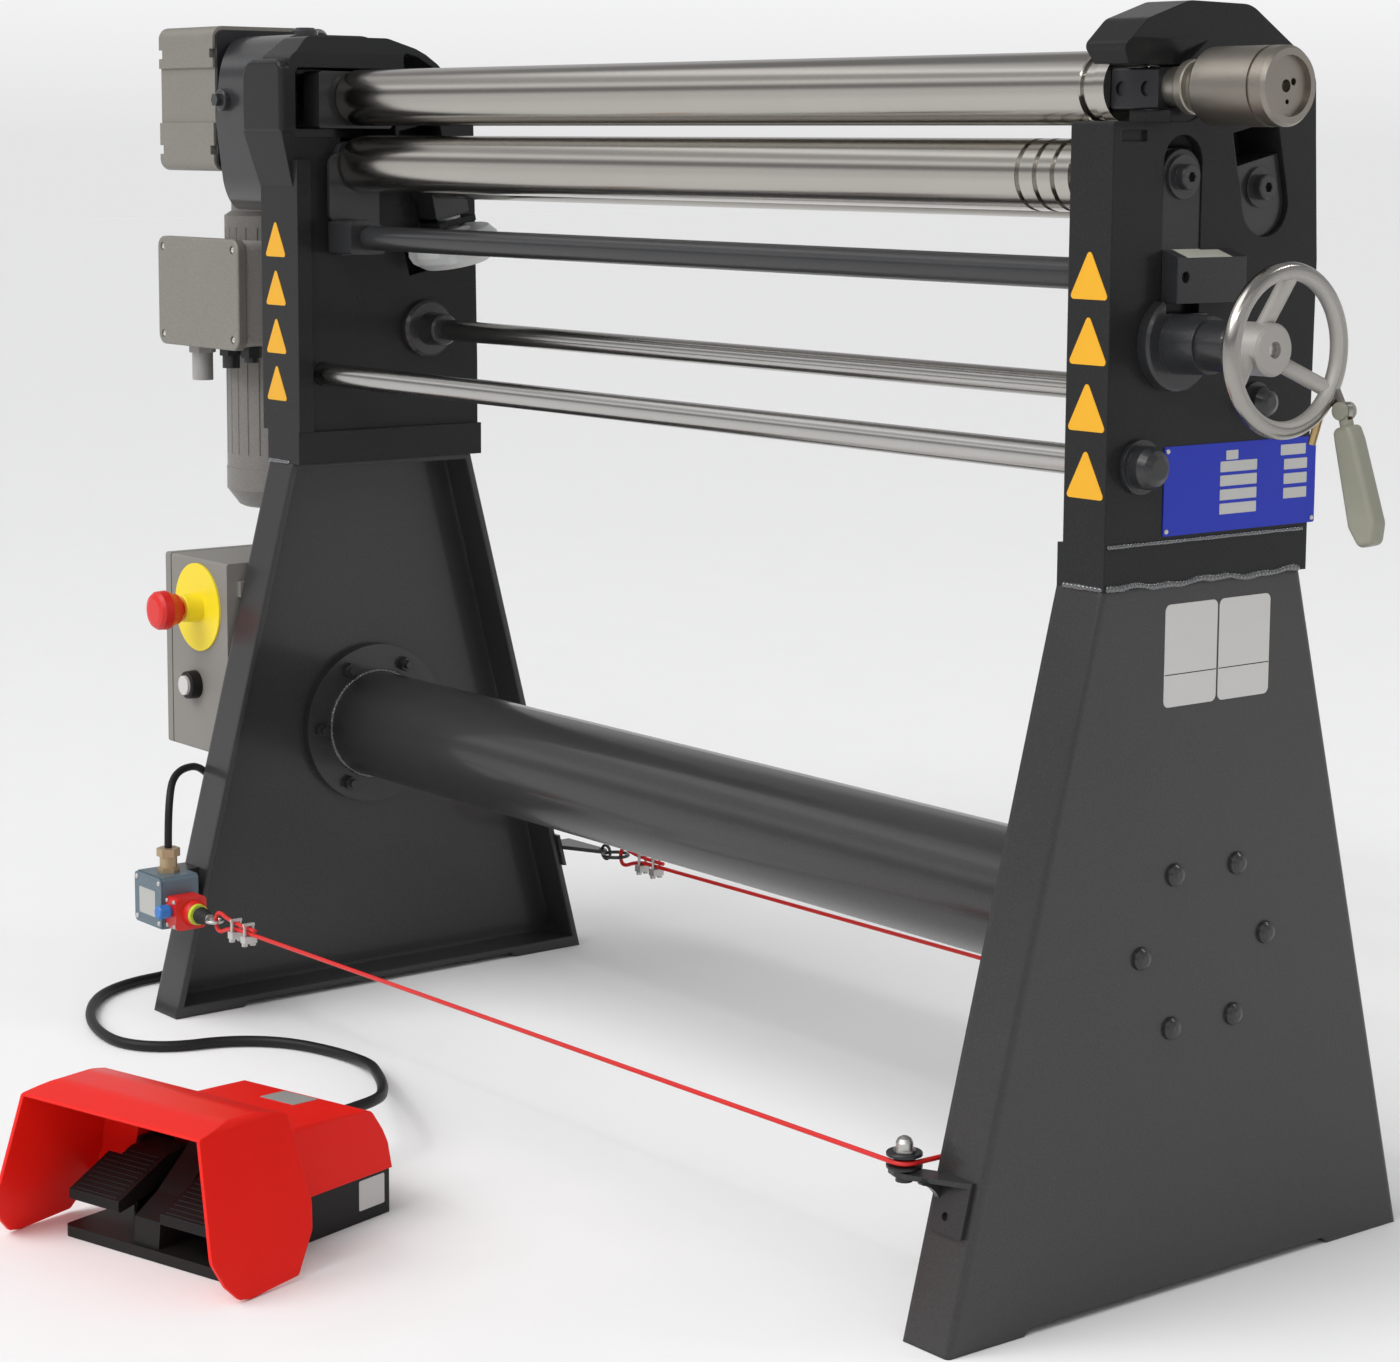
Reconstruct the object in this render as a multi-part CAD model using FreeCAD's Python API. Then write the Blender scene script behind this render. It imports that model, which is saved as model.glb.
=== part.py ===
"""Floor-standing motorised three-roll plate bending machine, built node by node.

Machine frame (mm): +X along the rolls towards the handwheel end, -Y the operator's side,
+Z up, Z = 0 the floor, X = 0 midway between the outer faces of the two stands. Every node is
moved by ROW_SHIFT on export, so that the origin lies under the middle of the whole machine.
"""
import FreeCAD, Part

import math
import os

V = FreeCAD.Vector

# ---------------------------------------------------------------- driving dimensions
ROW_SHIFT = (41.319, 207.974, 0.0)

STAND_X = 587.5          # outer face of each stand
STAND_T = 6.0            # sheet thickness of the stands
FLANGE_D = 48.0          # depth of a stand's bent flanges
BASE_Y = 247.0           # half depth at the floor
WAIST_Y = 106.0          # half depth at the waist
WAIST_Z = 545.0          # top of the stands, bottom of the heads
LEG_SLOPE = (BASE_Y - WAIST_Y) / WAIST_Z

NEAR_IN = 545.0          # inner face of the near head
FAR_IN = -534.0          # inner face of the far head
HEAD_REAR = 112.0

ROLL_R = 27.5
UPPER = (-34.0, 906.9)   # roll axes as (Y, Z)
LOWER = (-34.0, 842.6)
REAR = (52.0, 835.0)
TILT = 12.5              # lean of the rear roll's slots, degrees from the vertical
LIFT = 8.6               # upward travel of the lower roll
REAR_LIFT = 20.0         # travel of the rear roll along its slots
PIVOT_X = -627.0         # vertical swing axis of the upper roll, inside the gear case

TUBE = (10.0, 266.0)     # base tube axis (Y, Z)
TUBE_R = 54.0
BOLT_PCD = 136.0
BOLT_COUNT = 6

ROD_REAR = (49.0, 676.0)
ROD_REAR_R = 10.5
ROD_FRONT = (-73.0, 634.0)
ROD_FRONT_R = 11.5
ROD_CROSS = (-49.0, 770.0)
ROD_CROSS_R = 12.0
WHEEL = (-43.0, 723.0)   # handwheel axis (Y, Z)
WHEEL_X = 698.0          # plane of the handwheel's rim
WHEEL_R = 62.5
SLEEVE_BORE = 21.5       # recess in the sleeve's end face
RIM_R = 6.5
HINGE = (710.5, 6.0, 679.5)     # pivot of the folding grip

GEARBOX_X = -750.0       # worm wheel plane and motor axis
WORM_CENTRES = 50.0
GEAR_X = (-683.0, -661.0)
GEAR_TEETH = 8
GEAR_TIP = 35.5
GEAR_ROOT = 19.0
CASE = [(-106, 794, 34), (40, 794, 30), (40, 970, 34), (-106, 970, 46)]

ROPE_R = 2.0
ROPE_Y = 244.5
PULLEY = (524.0, 234.0)  # pulley axes at X, +-Y
PULLEY_Z = {-1: 130.5, 1: 121.0}
PULLEY_BEND = 10.5       # rope centre line round a pulley

SWITCH_EXIT = (-645.0, -60.0)   # cable exits under the control box (X, Y)
FOOT_EXIT = (-676.0, -66.0)
EXIT_Z = 231.5
SWITCH_TOP = (-550.0, -247.0)   # gland on top of the rope switch (X, Y)

FOOT_ORIGIN = (49.0, -602.0)
FOOT_TURN = 15.2
FOOT_GLAND = -26.0       # cable gland's place across the rear of the foot switch
RUN = 0.05               # radial clearance of a running fit

PARTS = {}
GLANDS = []              # cable glands, gathered from every housing into one node


# ---------------------------------------------------------------- shape helpers
def box(xs, ys, zs):
    """Box between the low and high limits along X, Y and Z."""
    size = (xs[1] - xs[0], ys[1] - ys[0], zs[1] - zs[0])
    return Part.makeBox(size[0], size[1], size[2], V(xs[0], ys[0], zs[0]))


def bar(start, end, radius):
    """Round bar from one point to another."""
    a, b = V(*start), V(*end)
    return Part.makeCylinder(radius, (b - a).Length, a, b - a)


def rod(axis, centre, radius, span):
    """Cylinder along an axis; centre holds the other two coordinates in XYZ order."""
    ends = []
    for s in span:
        ends.append({"x": (s, centre[0], centre[1]), "y": (centre[0], s, centre[1]),
                     "z": (centre[0], centre[1], s)}[axis])
    return bar(ends[0], ends[1], radius)


def place(axis, u, v, w=0.0):
    """Point from plane coordinates u, v and the height w along the axis."""
    return {"x": V(w, u, v), "y": V(u, w, v), "z": V(u, v, w)}[axis]


def outline(axis, points):
    """Closed face of straight sides; a third number on a point rounds that corner."""
    pts = [(p[0], p[1], p[2] if len(p) > 2 else 0.0) for p in points]
    edges, ends = [], []
    count = len(pts)
    for i, (x, y, r) in enumerate(pts):
        if not r:
            ends.append(((x, y), (x, y), None))
            continue
        before, after = pts[i - 1], pts[(i + 1) % count]
        a = math.atan2(before[1] - y, before[0] - x)
        b = math.atan2(after[1] - y, after[0] - x)
        half = abs((b - a + math.pi) % (2 * math.pi) - math.pi) / 2
        reach = r / math.tan(half)
        bx, by = math.cos(a) + math.cos(b), math.sin(a) + math.sin(b)
        norm = math.hypot(bx, by)
        depth = r / math.sin(half) - r
        ends.append(((x + reach * math.cos(a), y + reach * math.sin(a)),
                     (x + reach * math.cos(b), y + reach * math.sin(b)),
                     (x + depth * bx / norm, y + depth * by / norm)))
    for i, (first, last, middle) in enumerate(ends):
        if middle:
            arc = Part.Arc(place(axis, *first), place(axis, *middle), place(axis, *last))
            edges.append(arc.toShape())
        start, end = place(axis, *last), place(axis, *ends[(i + 1) % count][0])
        if (end - start).Length > 1e-6:
            edges.append(Part.makeLine(start, end))
    return Part.Face(Part.Wire(edges))


def slab(axis, points, span):
    """Outline extruded along an axis between two heights."""
    face = outline(axis, points)
    face.translate(place(axis, 0, 0, span[0]))
    return face.extrude(place(axis, 0, 0, span[1] - span[0]))


def lathe(axis, centre, profile):
    """Solid of revolution; profile lists (height along the axis, radius)."""
    pts = [(profile[0][0], 0.0)] + list(profile) + [(profile[-1][0], 0.0)]
    along = place(axis, 0, 0, 1)
    out = {"x": V(0, 1, 0), "y": V(1, 0, 0), "z": V(1, 0, 0)}[axis]
    base = place(axis, centre[0], centre[1], 0)
    corners = []
    for height, radius in pts:
        corner = base + along * height + out * radius
        if not corners or (corner - corners[-1]).Length > 1e-6:
            corners.append(corner)
    wire = Part.makePolygon(corners + [corners[0]])
    return Part.Face(wire).revolve(base, along, 360)


def fuse(shapes):
    """One solid from several touching shapes."""
    shapes = list(shapes)
    whole = shapes[0].multiFuse(shapes[1:]) if len(shapes) > 1 else shapes[0]
    return whole.removeSplitter()


def cut(shape, tools):
    """Shape less every tool."""
    for tool in tools:
        shape = shape.cut(tool)
    return shape


def group(shapes):
    """Separate identical pieces kept as one node."""
    return Part.makeCompound(list(shapes))


def soften(shape, radius, wanted):
    """Fillet the edges that wanted(edge) picks; the shape is kept where that fails."""
    edges = [e for e in shape.Edges if wanted(e)]
    try:
        rounded = shape.makeFillet(radius, edges)
        return rounded if rounded.isValid() and rounded.Volume > 0 else shape
    except Exception:
        print("fillet left out", radius, len(edges))
        return shape


def hexagon(axis, centre, across, span, turn=0.0):
    """Hexagonal prism of the given width across flats."""
    r = across / math.sqrt(3)
    pts = [(centre[0] + r * math.cos(math.radians(60 * k + turn)),
            centre[1] + r * math.sin(math.radians(60 * k + turn))) for k in range(6)]
    return slab(axis, pts, span)


def around(centre, radius, count, start=0.0):
    """Points evenly spaced on a circle."""
    for k in range(count):
        angle = math.radians(start + 360.0 * k / count)
        yield centre[0] + radius * math.cos(angle), centre[1] + radius * math.sin(angle)


def leg_y(z):
    """Distance of a leg's outer edge from the middle plane at a height."""
    return BASE_Y - LEG_SLOPE * z


def slant(s, across=0.0):
    """(Y, Z) at a distance s along the rear slots' line and across it."""
    t = math.radians(TILT)
    return (REAR[0] - s * math.sin(t) + across * math.cos(t),
            REAR[1] + s * math.cos(t) + across * math.sin(t))


def slanted(corners, span, radius=0.0):
    """Slab along X whose corners are given as (across, s) on the slots' line."""
    pts = []
    for corner in corners:
        y, z = slant(corner[1], corner[0])
        pts.append((y, z, corner[2] if len(corner) > 2 else radius))
    return slab("x", pts, span)


def slot_pin(x, radius, s_span):
    """Cylinder along the slots' line at a given X."""
    a, b = slant(s_span[0]), slant(s_span[1])
    return bar((x, a[0], a[1]), (x, b[0], b[1]), radius)


def cable(name, points, radius):
    """Tube of straight runs joined by tangent arcs through the given points."""
    pts = [V(*p) for p in points]
    edges, last, radii = [], pts[0], []
    for before, here, after in zip(pts, pts[1:], pts[2:]):
        a, b = (before - here), (after - here)
        shorter = min(a.Length, b.Length)
        a.normalize()
        b.normalize()
        turn = math.pi - a.getAngle(b)
        bend = 0.45 * shorter / math.tan(turn / 2)
        radii.append(round(bend, 1))
        start, end = here + a * (0.45 * shorter), here + b * (0.45 * shorter)
        middle = (a + b).normalize()
        top = here + middle * (bend / math.cos(turn / 2) - bend)
        edges.append(Part.makeLine(last, start))
        edges.append(Part.Arc(start, top, end).toShape())
        last = end
    edges.append(Part.makeLine(last, pts[-1]))
    path = Part.Wire(edges)
    ring = Part.Wire([Part.makeCircle(radius, pts[0], pts[1] - pts[0])])
    tube = path.makePipeShell([ring], True, False)
    want = math.pi * radius ** 2 * path.Length
    print(name, "bend radii", radii, "volume ratio", round(tube.Volume / want, 4))
    PARTS[name] = tube


# ---------------------------------------------------------------- stands and heads
def stand(side):
    """Bent-sheet stand: web on the outer face, flanges turned inwards, feet at both ends."""
    xs = sorted((side * STAND_X, side * (STAND_X - FLANGE_D)))
    outer = [(-BASE_Y, 0), (-171, 0), (-166, 5), (157, 5), (162, 0), (BASE_Y, 0),
             (WAIST_Y, WAIST_Z), (-WAIST_Y, WAIST_Z)]
    body = slab("x", outer, xs)
    body = soften(body, 4.0, lambda e: abs(abs(e.CenterOfMass.x) - STAND_X) < 0.1
                  and abs(e.CenterOfMass.z - WAIST_Z / 2) < 20)
    inset = STAND_T * math.hypot(1, LEG_SLOPE)
    low, high = 5 + STAND_T, WAIST_Z - STAND_T
    hollow = [(-leg_y(low) + inset, low), (leg_y(low) - inset, low),
              (leg_y(high) - inset, high), (-leg_y(high) + inset, high)]
    inner = sorted((side * (STAND_X - STAND_T), side * (STAND_X - FLANGE_D - 1)))
    holes = [rod("x", p, 4.5, sorted((side * (STAND_X - STAND_T - 1), side * (STAND_X + 1))))
             for p in around(TUBE, BOLT_PCD / 2, BOLT_COUNT)]
    return cut(body, [slab("x", hollow, inner)] + holes)


def base_tube():
    """Round base tube, its two end flanges, and the bolts and nuts that hold them."""
    face = STAND_X - STAND_T
    tube = rod("x", TUBE, TUBE_R, (-face + 10, face - 10))
    tube = tube.cut(rod("x", TUBE, TUBE_R - 4, (-face, face)))
    flanges, screws, nuts = [], [], []
    for side in (-1, 1):
        plate = rod("x", TUBE, 82.5, sorted((side * (face - 10), side * face)))
        plate = plate.cut(rod("x", TUBE, TUBE_R - 4, sorted((side * (face - 11), side * (face + 1)))))
        for p in around(TUBE, BOLT_PCD / 2, BOLT_COUNT):
            plate = plate.cut(rod("x", p, 4.5, sorted((side * (face - 11), side * (face + 1)))))
            o = STAND_X
            profile = [(side * (face - 22), 4.3), (side * o, 4.3), (side * o, 9.0),
                       (side * (o + 2.5), 8.6), (side * (o + 4.6), 6.4), (side * (o + 5.6), 3.2)]
            screws.append(lathe("x", p, profile))
            nut = hexagon("x", p, 13, sorted((side * (face - 17), side * (face - 10))), 30)
            nuts.append(nut.cut(rod("x", p, 4.3, sorted((side * (face - 18), side * (face - 9))))))
        flanges.append(plate)
    PARTS["base_tube"] = fuse([tube] + flanges)
    PARTS["flange_bolts"] = group(screws + nuts)


def rear_slot(span, bottom=-12.0, top=46.0, half=25.0):
    """Leaning slot for a rear bearing block: round at the bottom, square at the top."""
    round_end = rod("x", slant(bottom), half, span)
    return fuse([round_end, slanted([(-half, bottom), (half, bottom), (half, top), (-half, top)],
                                    span)])


def head_near():
    """Near head: column, open hook for the upper journal, and the two roll slots."""
    sil = [(-106, WAIST_Z), (-106, 882, 3), (-13.5, 882, 19), (-13.5, 923, 19), (-84, 923, 2),
           (-95, 936, 5), (-74, 955, 14), (-31, 969, 20), (34, 968, 30), (88, 935, 26),
           (107, 916, 12), (109, 872), (114, 780, 60), (HEAD_REAR, 640), (HEAD_REAR, WAIST_Z)]
    span = (NEAR_IN, STAND_X)
    body = slab("x", sil, span)
    lower_bevel = slab("y", [(STAND_X + 1, 943.5), (STAND_X - 9, 921.5), (STAND_X + 1, 921.5)],
                       (-110, -8))
    ridge_end = slab("x", [(-111, 920), (-38, 920), (-8, 944), (-111, 944)], (570, 590))
    lower_bevel = lower_bevel.common(ridge_end)
    saddle = box((NEAR_IN + 1, STAND_X - 1), (-48, -16), (880, 890.6))
    recess = slab("x", [(-54, 738), (-14, 738), (-14, 873, 19.5), (-54, 873, 19.5)],
                  (578.5, STAND_X + 1))
    through = box((NEAR_IN - 1, 580), (-51.5, -16.5), (814, 873))
    pin_notch = box((STAND_X - 3, STAND_X + 1), (-98, -72), (868, 876))
    knob_room = slot_pin(528.0, 53.0, (-256, -202))
    rods = [rod("x", ROD_REAR, ROD_REAR_R + 0.1, (500, 600)),
            rod("x", ROD_FRONT, ROD_FRONT_R + 0.1, (500, 600)),
            rod("x", WHEEL, 12 + RUN, (500, 600))]
    slot = rear_slot((NEAR_IN - 1, STAND_X + 1))
    body = cut(body.fuse(saddle), [lower_bevel, recess, through, slot, pin_notch] + rods)
    shelf = slanted([(-22, -150), (22, -150), (22, -138), (-22, -138)], (506, NEAR_IN))
    shelf = shelf.cut(slot_pin(528.0, 8 + 0.3, (-160, -130)))
    foot = box((STAND_X - FLANGE_D, NEAR_IN), (-WAIST_Y, HEAD_REAR), (WAIST_Z, 577))
    return fuse([body.cut(knob_room), shelf, foot]).cut(knob_room)


def frustum(low, high):
    """Solid between two level rectangles, each given as X limits, Y limits and a height."""
    wires = []
    for xs, ys, z in (low, high):
        ring = [V(xs[0], ys[0], z), V(xs[1], ys[0], z), V(xs[1], ys[1], z), V(xs[0], ys[1], z)]
        wires.append(Part.makePolygon(ring + ring[:1]))
    return Part.makeLoft(wires, True, True)


def head_far():
    """Far head: column with the hooded swing window, the lower slot and the blind rear slot."""
    sil = [(-106, WAIST_Z), (-106, 852), (-108, 946, 6), (-80, 967, 16), (14, 967, 20),
           (42, 957, 14), (66, 941, 18), (108, 890, 30), (HEAD_REAR, 640), (HEAD_REAR, WAIST_Z)]
    span = (-STAND_X, FAR_IN)
    body = slab("x", sil, span)
    shoulder = slab("y", [(FAR_IN + 1, 950), (FAR_IN - 15, 968), (FAR_IN + 1, 968)], (-130, 66))
    hood = slab("y", [(-610, 872, 6), (-610, 944, 20), (FAR_IN, 944, 12), (FAR_IN, 872, 3)],
                (-119, -104))
    hood = soften(hood, 5.0, lambda e: abs(e.CenterOfMass.y + 119) < 0.1)
    throat = frustum(((-596, FAR_IN), (-106.5, -104), 820), ((-609, FAR_IN - 1), (-118, -104), 874))
    edge = box((-596, FAR_IN), (-106, -95), (577, 822))
    outside = fuse([hood.cut(shoulder), throat, edge]).cut(slab("x", CASE, (-700, -STAND_X)))
    edge_in = box((FAR_IN - 1, -526), (-106, -90), (577, 846))
    wide = (-STAND_X - 1, FAR_IN + 1)
    window = slab("x", [(-102, 868, 3), (14, 868, 3), (14, 936, 6), (-102, 936, 6)], wide)
    through = box(wide, (-51.5, -16.5), (812, 870))
    rods = [rod("x", ROD_REAR, ROD_REAR_R + 0.1, wide),
            rod("x", ROD_FRONT, ROD_FRONT_R + 0.1, (-620, -520))]
    knob_room = slot_pin(-512.0, 50.0, (-98, -55.5))
    pocket = slanted([(-21, -49), (21, -49), (21, 20), (-21, 20)], (-546, FAR_IN + 1))
    cavity = slab("x", [(24, 905, 4), (92, 896, 6), (84, 918, 10), (62, 937, 12), (40, 949, 10),
                        (24, 953, 4)], (-574, FAR_IN + 1))
    body = fuse([body.cut(shoulder), outside, edge_in])
    slot = rear_slot((-580, FAR_IN + 1))
    body = cut(body, [window, through, slot, knob_room, pocket, cavity] + rods)
    shelf = slanted([(-22, -55), (22, -55), (22, -49), (-22, -49)], (FAR_IN - 6, -496))
    shelf = shelf.cut(slot_pin(-512.0, 8 + 0.3, (-60, -40)))
    foot = box((FAR_IN, -STAND_X + FLANGE_D + 12), (-WAIST_Y, HEAD_REAR), (WAIST_Z, 577))
    return fuse([body, shelf, foot])


def tie_rods():
    """Two round tie rods between the heads, with their end nuts and the black collar."""
    rods = []
    for centre, r, thread in ((ROD_REAR, ROD_REAR_R, 8.0), (ROD_FRONT, ROD_FRONT_R, 10.0)):
        rods.append(lathe("x", centre, [(-601, thread), (-STAND_X, thread), (-STAND_X, r),
                                        (STAND_X, r), (STAND_X, thread), (600, thread)]))
    PARTS["tie_rods"] = group(rods)
    nuts = []
    for side in (-1, 1):
        o = side * STAND_X
        flange = [(o, 20), (o + side * 4, 20), (o + side * 4, 16), (o + side * 13, 16),
                  (o + side * 18.5, 13), (o + side * 21.5, 8)]
        nuts.append(lathe("x", ROD_FRONT, flange).cut(
            rod("x", ROD_FRONT, 10.0, sorted((o - side, o + side * 13.5)))))
        dome = [(o, 15), (o + side * 3, 15), (o + side * 3, 12), (o + side * 11, 12),
                (o + side * 15.5, 9), (o + side * 17.5, 5)]
        nuts.append(lathe("x", ROD_REAR, dome).cut(
            rod("x", ROD_REAR, 8.0, sorted((o - side, o + side * 14)))))
    collar = lathe("x", ROD_REAR, [(FAR_IN, 29), (-528, 29), (-525, 26), (-524, 17),
                                   (-500, 16), (-498, 14)])
    nuts.append(collar.cut(rod("x", ROD_REAR, ROD_REAR_R, (FAR_IN - 1, -490))))
    PARTS["tie_rod_nuts"] = group(nuts)


# ---------------------------------------------------------------- rolls and carriages
def upper_roll():
    """Upper roll with the spherical drive cup at the far end and stepped near neck."""
    body = lathe("x", UPPER, [(-636, 20), (-607, 20), (-607, 17), (-529, 17), (-529, 24),
                              (-526, ROLL_R - 1), (-525, ROLL_R), (506, ROLL_R), (507, ROLL_R - 1),
                              (507, 24.5), (519, 24.5), (519, 26), (530.5, 26), (530.5, 15),
                              (592.5, 15), (592.5, 19), (594, 20), (600, 20), (601, 19),
                              (601, 15), (674, 15)])
    ball_room = Part.makeSphere(15.4, V(PIVOT_X, *UPPER))
    PARTS["upper_roll"] = cut(body, [ball_room, rod("x", UPPER, 11.6, (-640, PIVOT_X))])


def swing_block():
    """Swing block: bearing for the upper roll's far neck, turning on two vertical pins."""
    y, z = UPPER
    block = box((-562, -532), (y - 42, y + 42), (z - 30, z + 26))
    block = soften(block, 3.0, lambda e: abs(e.tangentAt(0).x) > 0.9)
    neck = rod("x", UPPER, 26, (-604, -562))
    yoke = box((-653, -601), (y - 27, y + 27), (z - 29, z + 29))
    body = fuse([block, neck, yoke])
    tools = [rod("x", UPPER, 17 + RUN, (-610, -520)), rod("x", UPPER, 22, (-660, -603)),
             rod("z", (PIVOT_X, y), 7 + RUN, (z - 40, z + 40))]
    PARTS["swing_block"] = cut(body, tools)
    near = slab("x", [(-52, 891, 2), (-16, 891, 2), (-16, 921, 2), (-52, 921, 2)], (531, 578))
    near = near.common(slab("x", [(-60, 882.6), (-14.1, 882.6, 19.8), (-14.1, 922.4, 19.8),
                                  (-60, 922.4)], (531, 578)))
    near = near.cut(rod("x", UPPER, 15 + RUN, (520, 590)))
    near = near.cut(rod("y", (541, UPPER[1] - 1), 5.5, (-60, -50)))
    PARTS["near_journal"] = near.cut(rod("y", (566, UPPER[1] - 1), 5.5, (-60, -50)))


def grip_sleeve():
    """Turned sleeve on the upper roll's near neck, used to swing the roll out."""
    x0 = 612.0
    body = lathe("x", UPPER, [(x0, 22), (x0 + 4, 27.5), (x0 + 6, 28.5), (x0 + 59, 28.5),
                              (x0 + 59, 27.3), (x0 + 62, 27.3), (x0 + 62, 28.5), (x0 + 72, 28.5),
                              (x0 + 75, 26.3)])
    tools = [rod("x", UPPER, 15 + RUN, (x0 - 1, 675)), rod("x", UPPER, SLEEVE_BORE, (683, 700)),
             rod("x", UPPER, 4.5, (676.5, 690))]
    y, z = UPPER
    tools += [rod("x", (y + 7.5, z + 3), 2.6, (676.5, 690)),
              rod("x", (y + 1.5, z - 11), 1.8, (676.5, 690))]
    PARTS["grip_sleeve"] = cut(body, tools)


def grooves(centre, starts, width=5.0, depth=2.4):
    """Ring cutters for the wire grooves at the near end of a roll."""
    for x in starts:
        ring = rod("x", centre, ROLL_R + 1, (x, x + width))
        yield ring.cut(rod("x", centre, ROLL_R - depth, (x - 1, x + width + 1)))


def lower_roll():
    """Lower roll: ground body with wire grooves, two journals and the geared far end."""
    body = lathe("x", LOWER, [(-684.6, 13), (-534, 13), (-534, 15), (-519, 15), (-519, ROLL_R - 1),
                              (-518, ROLL_R), (521, ROLL_R), (522, ROLL_R - 1), (522, 15),
                              (574, 15)])
    PARTS["lower_roll"] = cut(body, grooves(LOWER, (440, 459, 478, 497)))


def carriages():
    """Lower carriage: near and far bearing slides joined by the cross rod."""
    y, z = LOWER
    inner = slab("x", [(-58, 692, 4), (-14, 692, 4), (-14, 866, 14), (-58, 866, 14)], (531, 544.4))
    block = box((544.4, 578.9), (y - 17, y + 17), (818, 863))
    outer = slab("x", [(-53.6, 752), (-14.4, 752), (-14.4, 862.4, 19), (-53.6, 862.4, 19)],
                 (578.9, 586.5))
    near = fuse([inner, block, outer])
    tools = [rod("x", LOWER, 15 + RUN, (520, 575)), rod("x", ROD_CROSS, ROD_CROSS_R, (520, 541)),
             box((530, 545), (-44 - 14, -44 + 15), (690, 742))]
    near = cut(near, tools)
    wedge = slab("y", [(585, 752), (603, 752), (603, 785), (586.5, 790.5), (585, 790.5)],
                 (-53.6, -14.4))
    proud = slab("y", [(588.2, 752), (603, 752), (603, 785), (588.2, 790)], (-53.6, 19))
    near = fuse([near, wedge, proud]).cut(rod("x", (-45, 771), 4.2, (597, 604)))
    PARTS["carriage_near"] = near
    far_inner = slab("x", [(-60, 752, 4), (-14, 752, 4), (-14, 864, 12), (-72, 850, 12),
                           (-72, 790, 8), (-60, 780, 4)], (-525.6, -521))
    far_inner = fuse([far_inner, slab("x", [(-60, 752, 4), (-14, 752, 4), (-14, 864, 12),
                                            (-60, 864, 12)], (-533.6, -525.6))])
    far_block = box((-586, -533.6), (y - 17, y + 17), (818, 862))
    lug = slab("x", [(-71, 754, 3), (-32, 754, 3), (-32, 780, 8), (-46, 788, 6), (-71, 786, 3)],
               (-525.6, -484))
    far = fuse([far_inner, far_block, lug])
    PARTS["carriage_far"] = cut(far, [rod("x", LOWER, 13 + RUN, (-590, -530)),
                                      rod("x", LOWER, 16.0, (-534, -515)),
                                      rod("x", ROD_CROSS, ROD_CROSS_R, (-530, -480))])
    PARTS["cross_rod"] = rod("x", ROD_CROSS, ROD_CROSS_R, (-530, 541))
    PARTS["lower_end_screw"] = cap_screw(LOWER, 586.5, 16.0, 9.5)


def cap_screw(centre, x0, washer_r, head_r):
    """Socket cap screw head on a washer, standing on a face at x0 and pointing to +X."""
    body = lathe("x", centre, [(x0, washer_r), (x0 + 2.5, washer_r), (x0 + 2.5, head_r),
                               (x0 + 9, head_r), (x0 + 10, head_r - 1)])
    return body.cut(hexagon("x", centre, 7, (x0 + 5, x0 + 11)))


def rear_set():
    """Rear roll, its two bearing blocks, and the adjusting screws with their knobs."""
    body = lathe("x", REAR, [(-577, 14.5), (-500, 14.5), (-500, ROLL_R - 1), (-499, ROLL_R),
                             (499, ROLL_R), (500, ROLL_R - 1), (500, 14.5), (577, 14.5)])
    PARTS["rear_roll"] = cut(body, grooves(REAR, (440, 459, 478)))
    block = fuse([rod("x", slant(-12), 24.7, (544.6, 583)),
                  slanted([(-24.7, -12), (24.7, -12), (24.7, 20), (-24.7, 20)], (544.6, 583))])
    lug = slanted([(-20, -46, 3), (20, -46, 3), (20, 20, 6), (-20, 20, 6)], (511, 544.6))
    cover = slanted([(-20, 8), (27, 8), (27, 46, 3), (-20, 46, 3)], (537, 544.6))
    near = cut(fuse([block, lug, cover]), [rod("x", REAR, 14.5 + RUN, (505, 578)),
                                    slot_pin(528.0, 8.15, (-50, -16.4))])
    block = fuse([rod("x", slant(-12), 24.7, (-579, -534.5)),
                  slanted([(-24.7, -12), (24.7, -12), (24.7, 20), (-24.7, 20)], (-579, -534.5))])
    lug = slanted([(-20, -46, 3), (20, -46, 3), (20, 20, 6), (-20, 20, 6)], (-534.5, -503))
    lug = fuse([block, lug])
    slim = slanted([(-20, -46), (20, -46), (20, -20), (-20, -20)], (-545, -534))
    PARTS["rear_block_far"] = cut(fuse([lug, slim]), [rod("x", REAR, 14.5 + RUN, (-578, -495)),
                                                      slot_pin(-512.0, 8.15, (-50, -16.4))])
    PARTS["rear_block_near"] = group([near, cap_screw(REAR, 583.0, 15.0, 9.5)])
    for name, x, low, high, shelf in (("near", 528.0, -248, -208, (-150, -138)),
                                      ("far", -512.0, -95, -57, (-55, -49))):
        screw = slot_pin(x, 8.0, (high - 12, -17))
        collars = [slot_pin(x, 12.0, (shelf[1] + 0.2, shelf[1] + 2.4))]
        if name == "near":
            collars.append(slot_pin(x, 12.0, (shelf[0] - 6, shelf[0] - 0.2)))
        PARTS["adjust_knob_" + name] = fuse([knob(x, low, high), screw] + collars)


def knob(x, low, high, reach=50.0):
    """Six-lobed hand knob whose axis is the rear slots' line."""
    if high > -100:
        reach = 47.0
    middle = slant((low + high) / 2)
    height = high - low
    profile = [(-height / 2, reach - 14), (-height / 2 + 8, reach - 3), (-4, reach),
               (height / 2 - 12, reach - 1), (height / 2 - 4, reach - 8),
               (height / 2 - 4, 20), (height / 2 - 0.6, 16)]
    body = lathe("z", (0, 0), profile)
    scallops = [rod("z", p, 15.0, (-height, height)) for p in around((0, 0), reach + 9.5, 6, 20)]
    body = cut(body, scallops)
    body.rotate(V(0, 0, 0), V(1, 0, 0), TILT)
    body.translate(V(x, middle[0], middle[1]))
    return body


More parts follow.
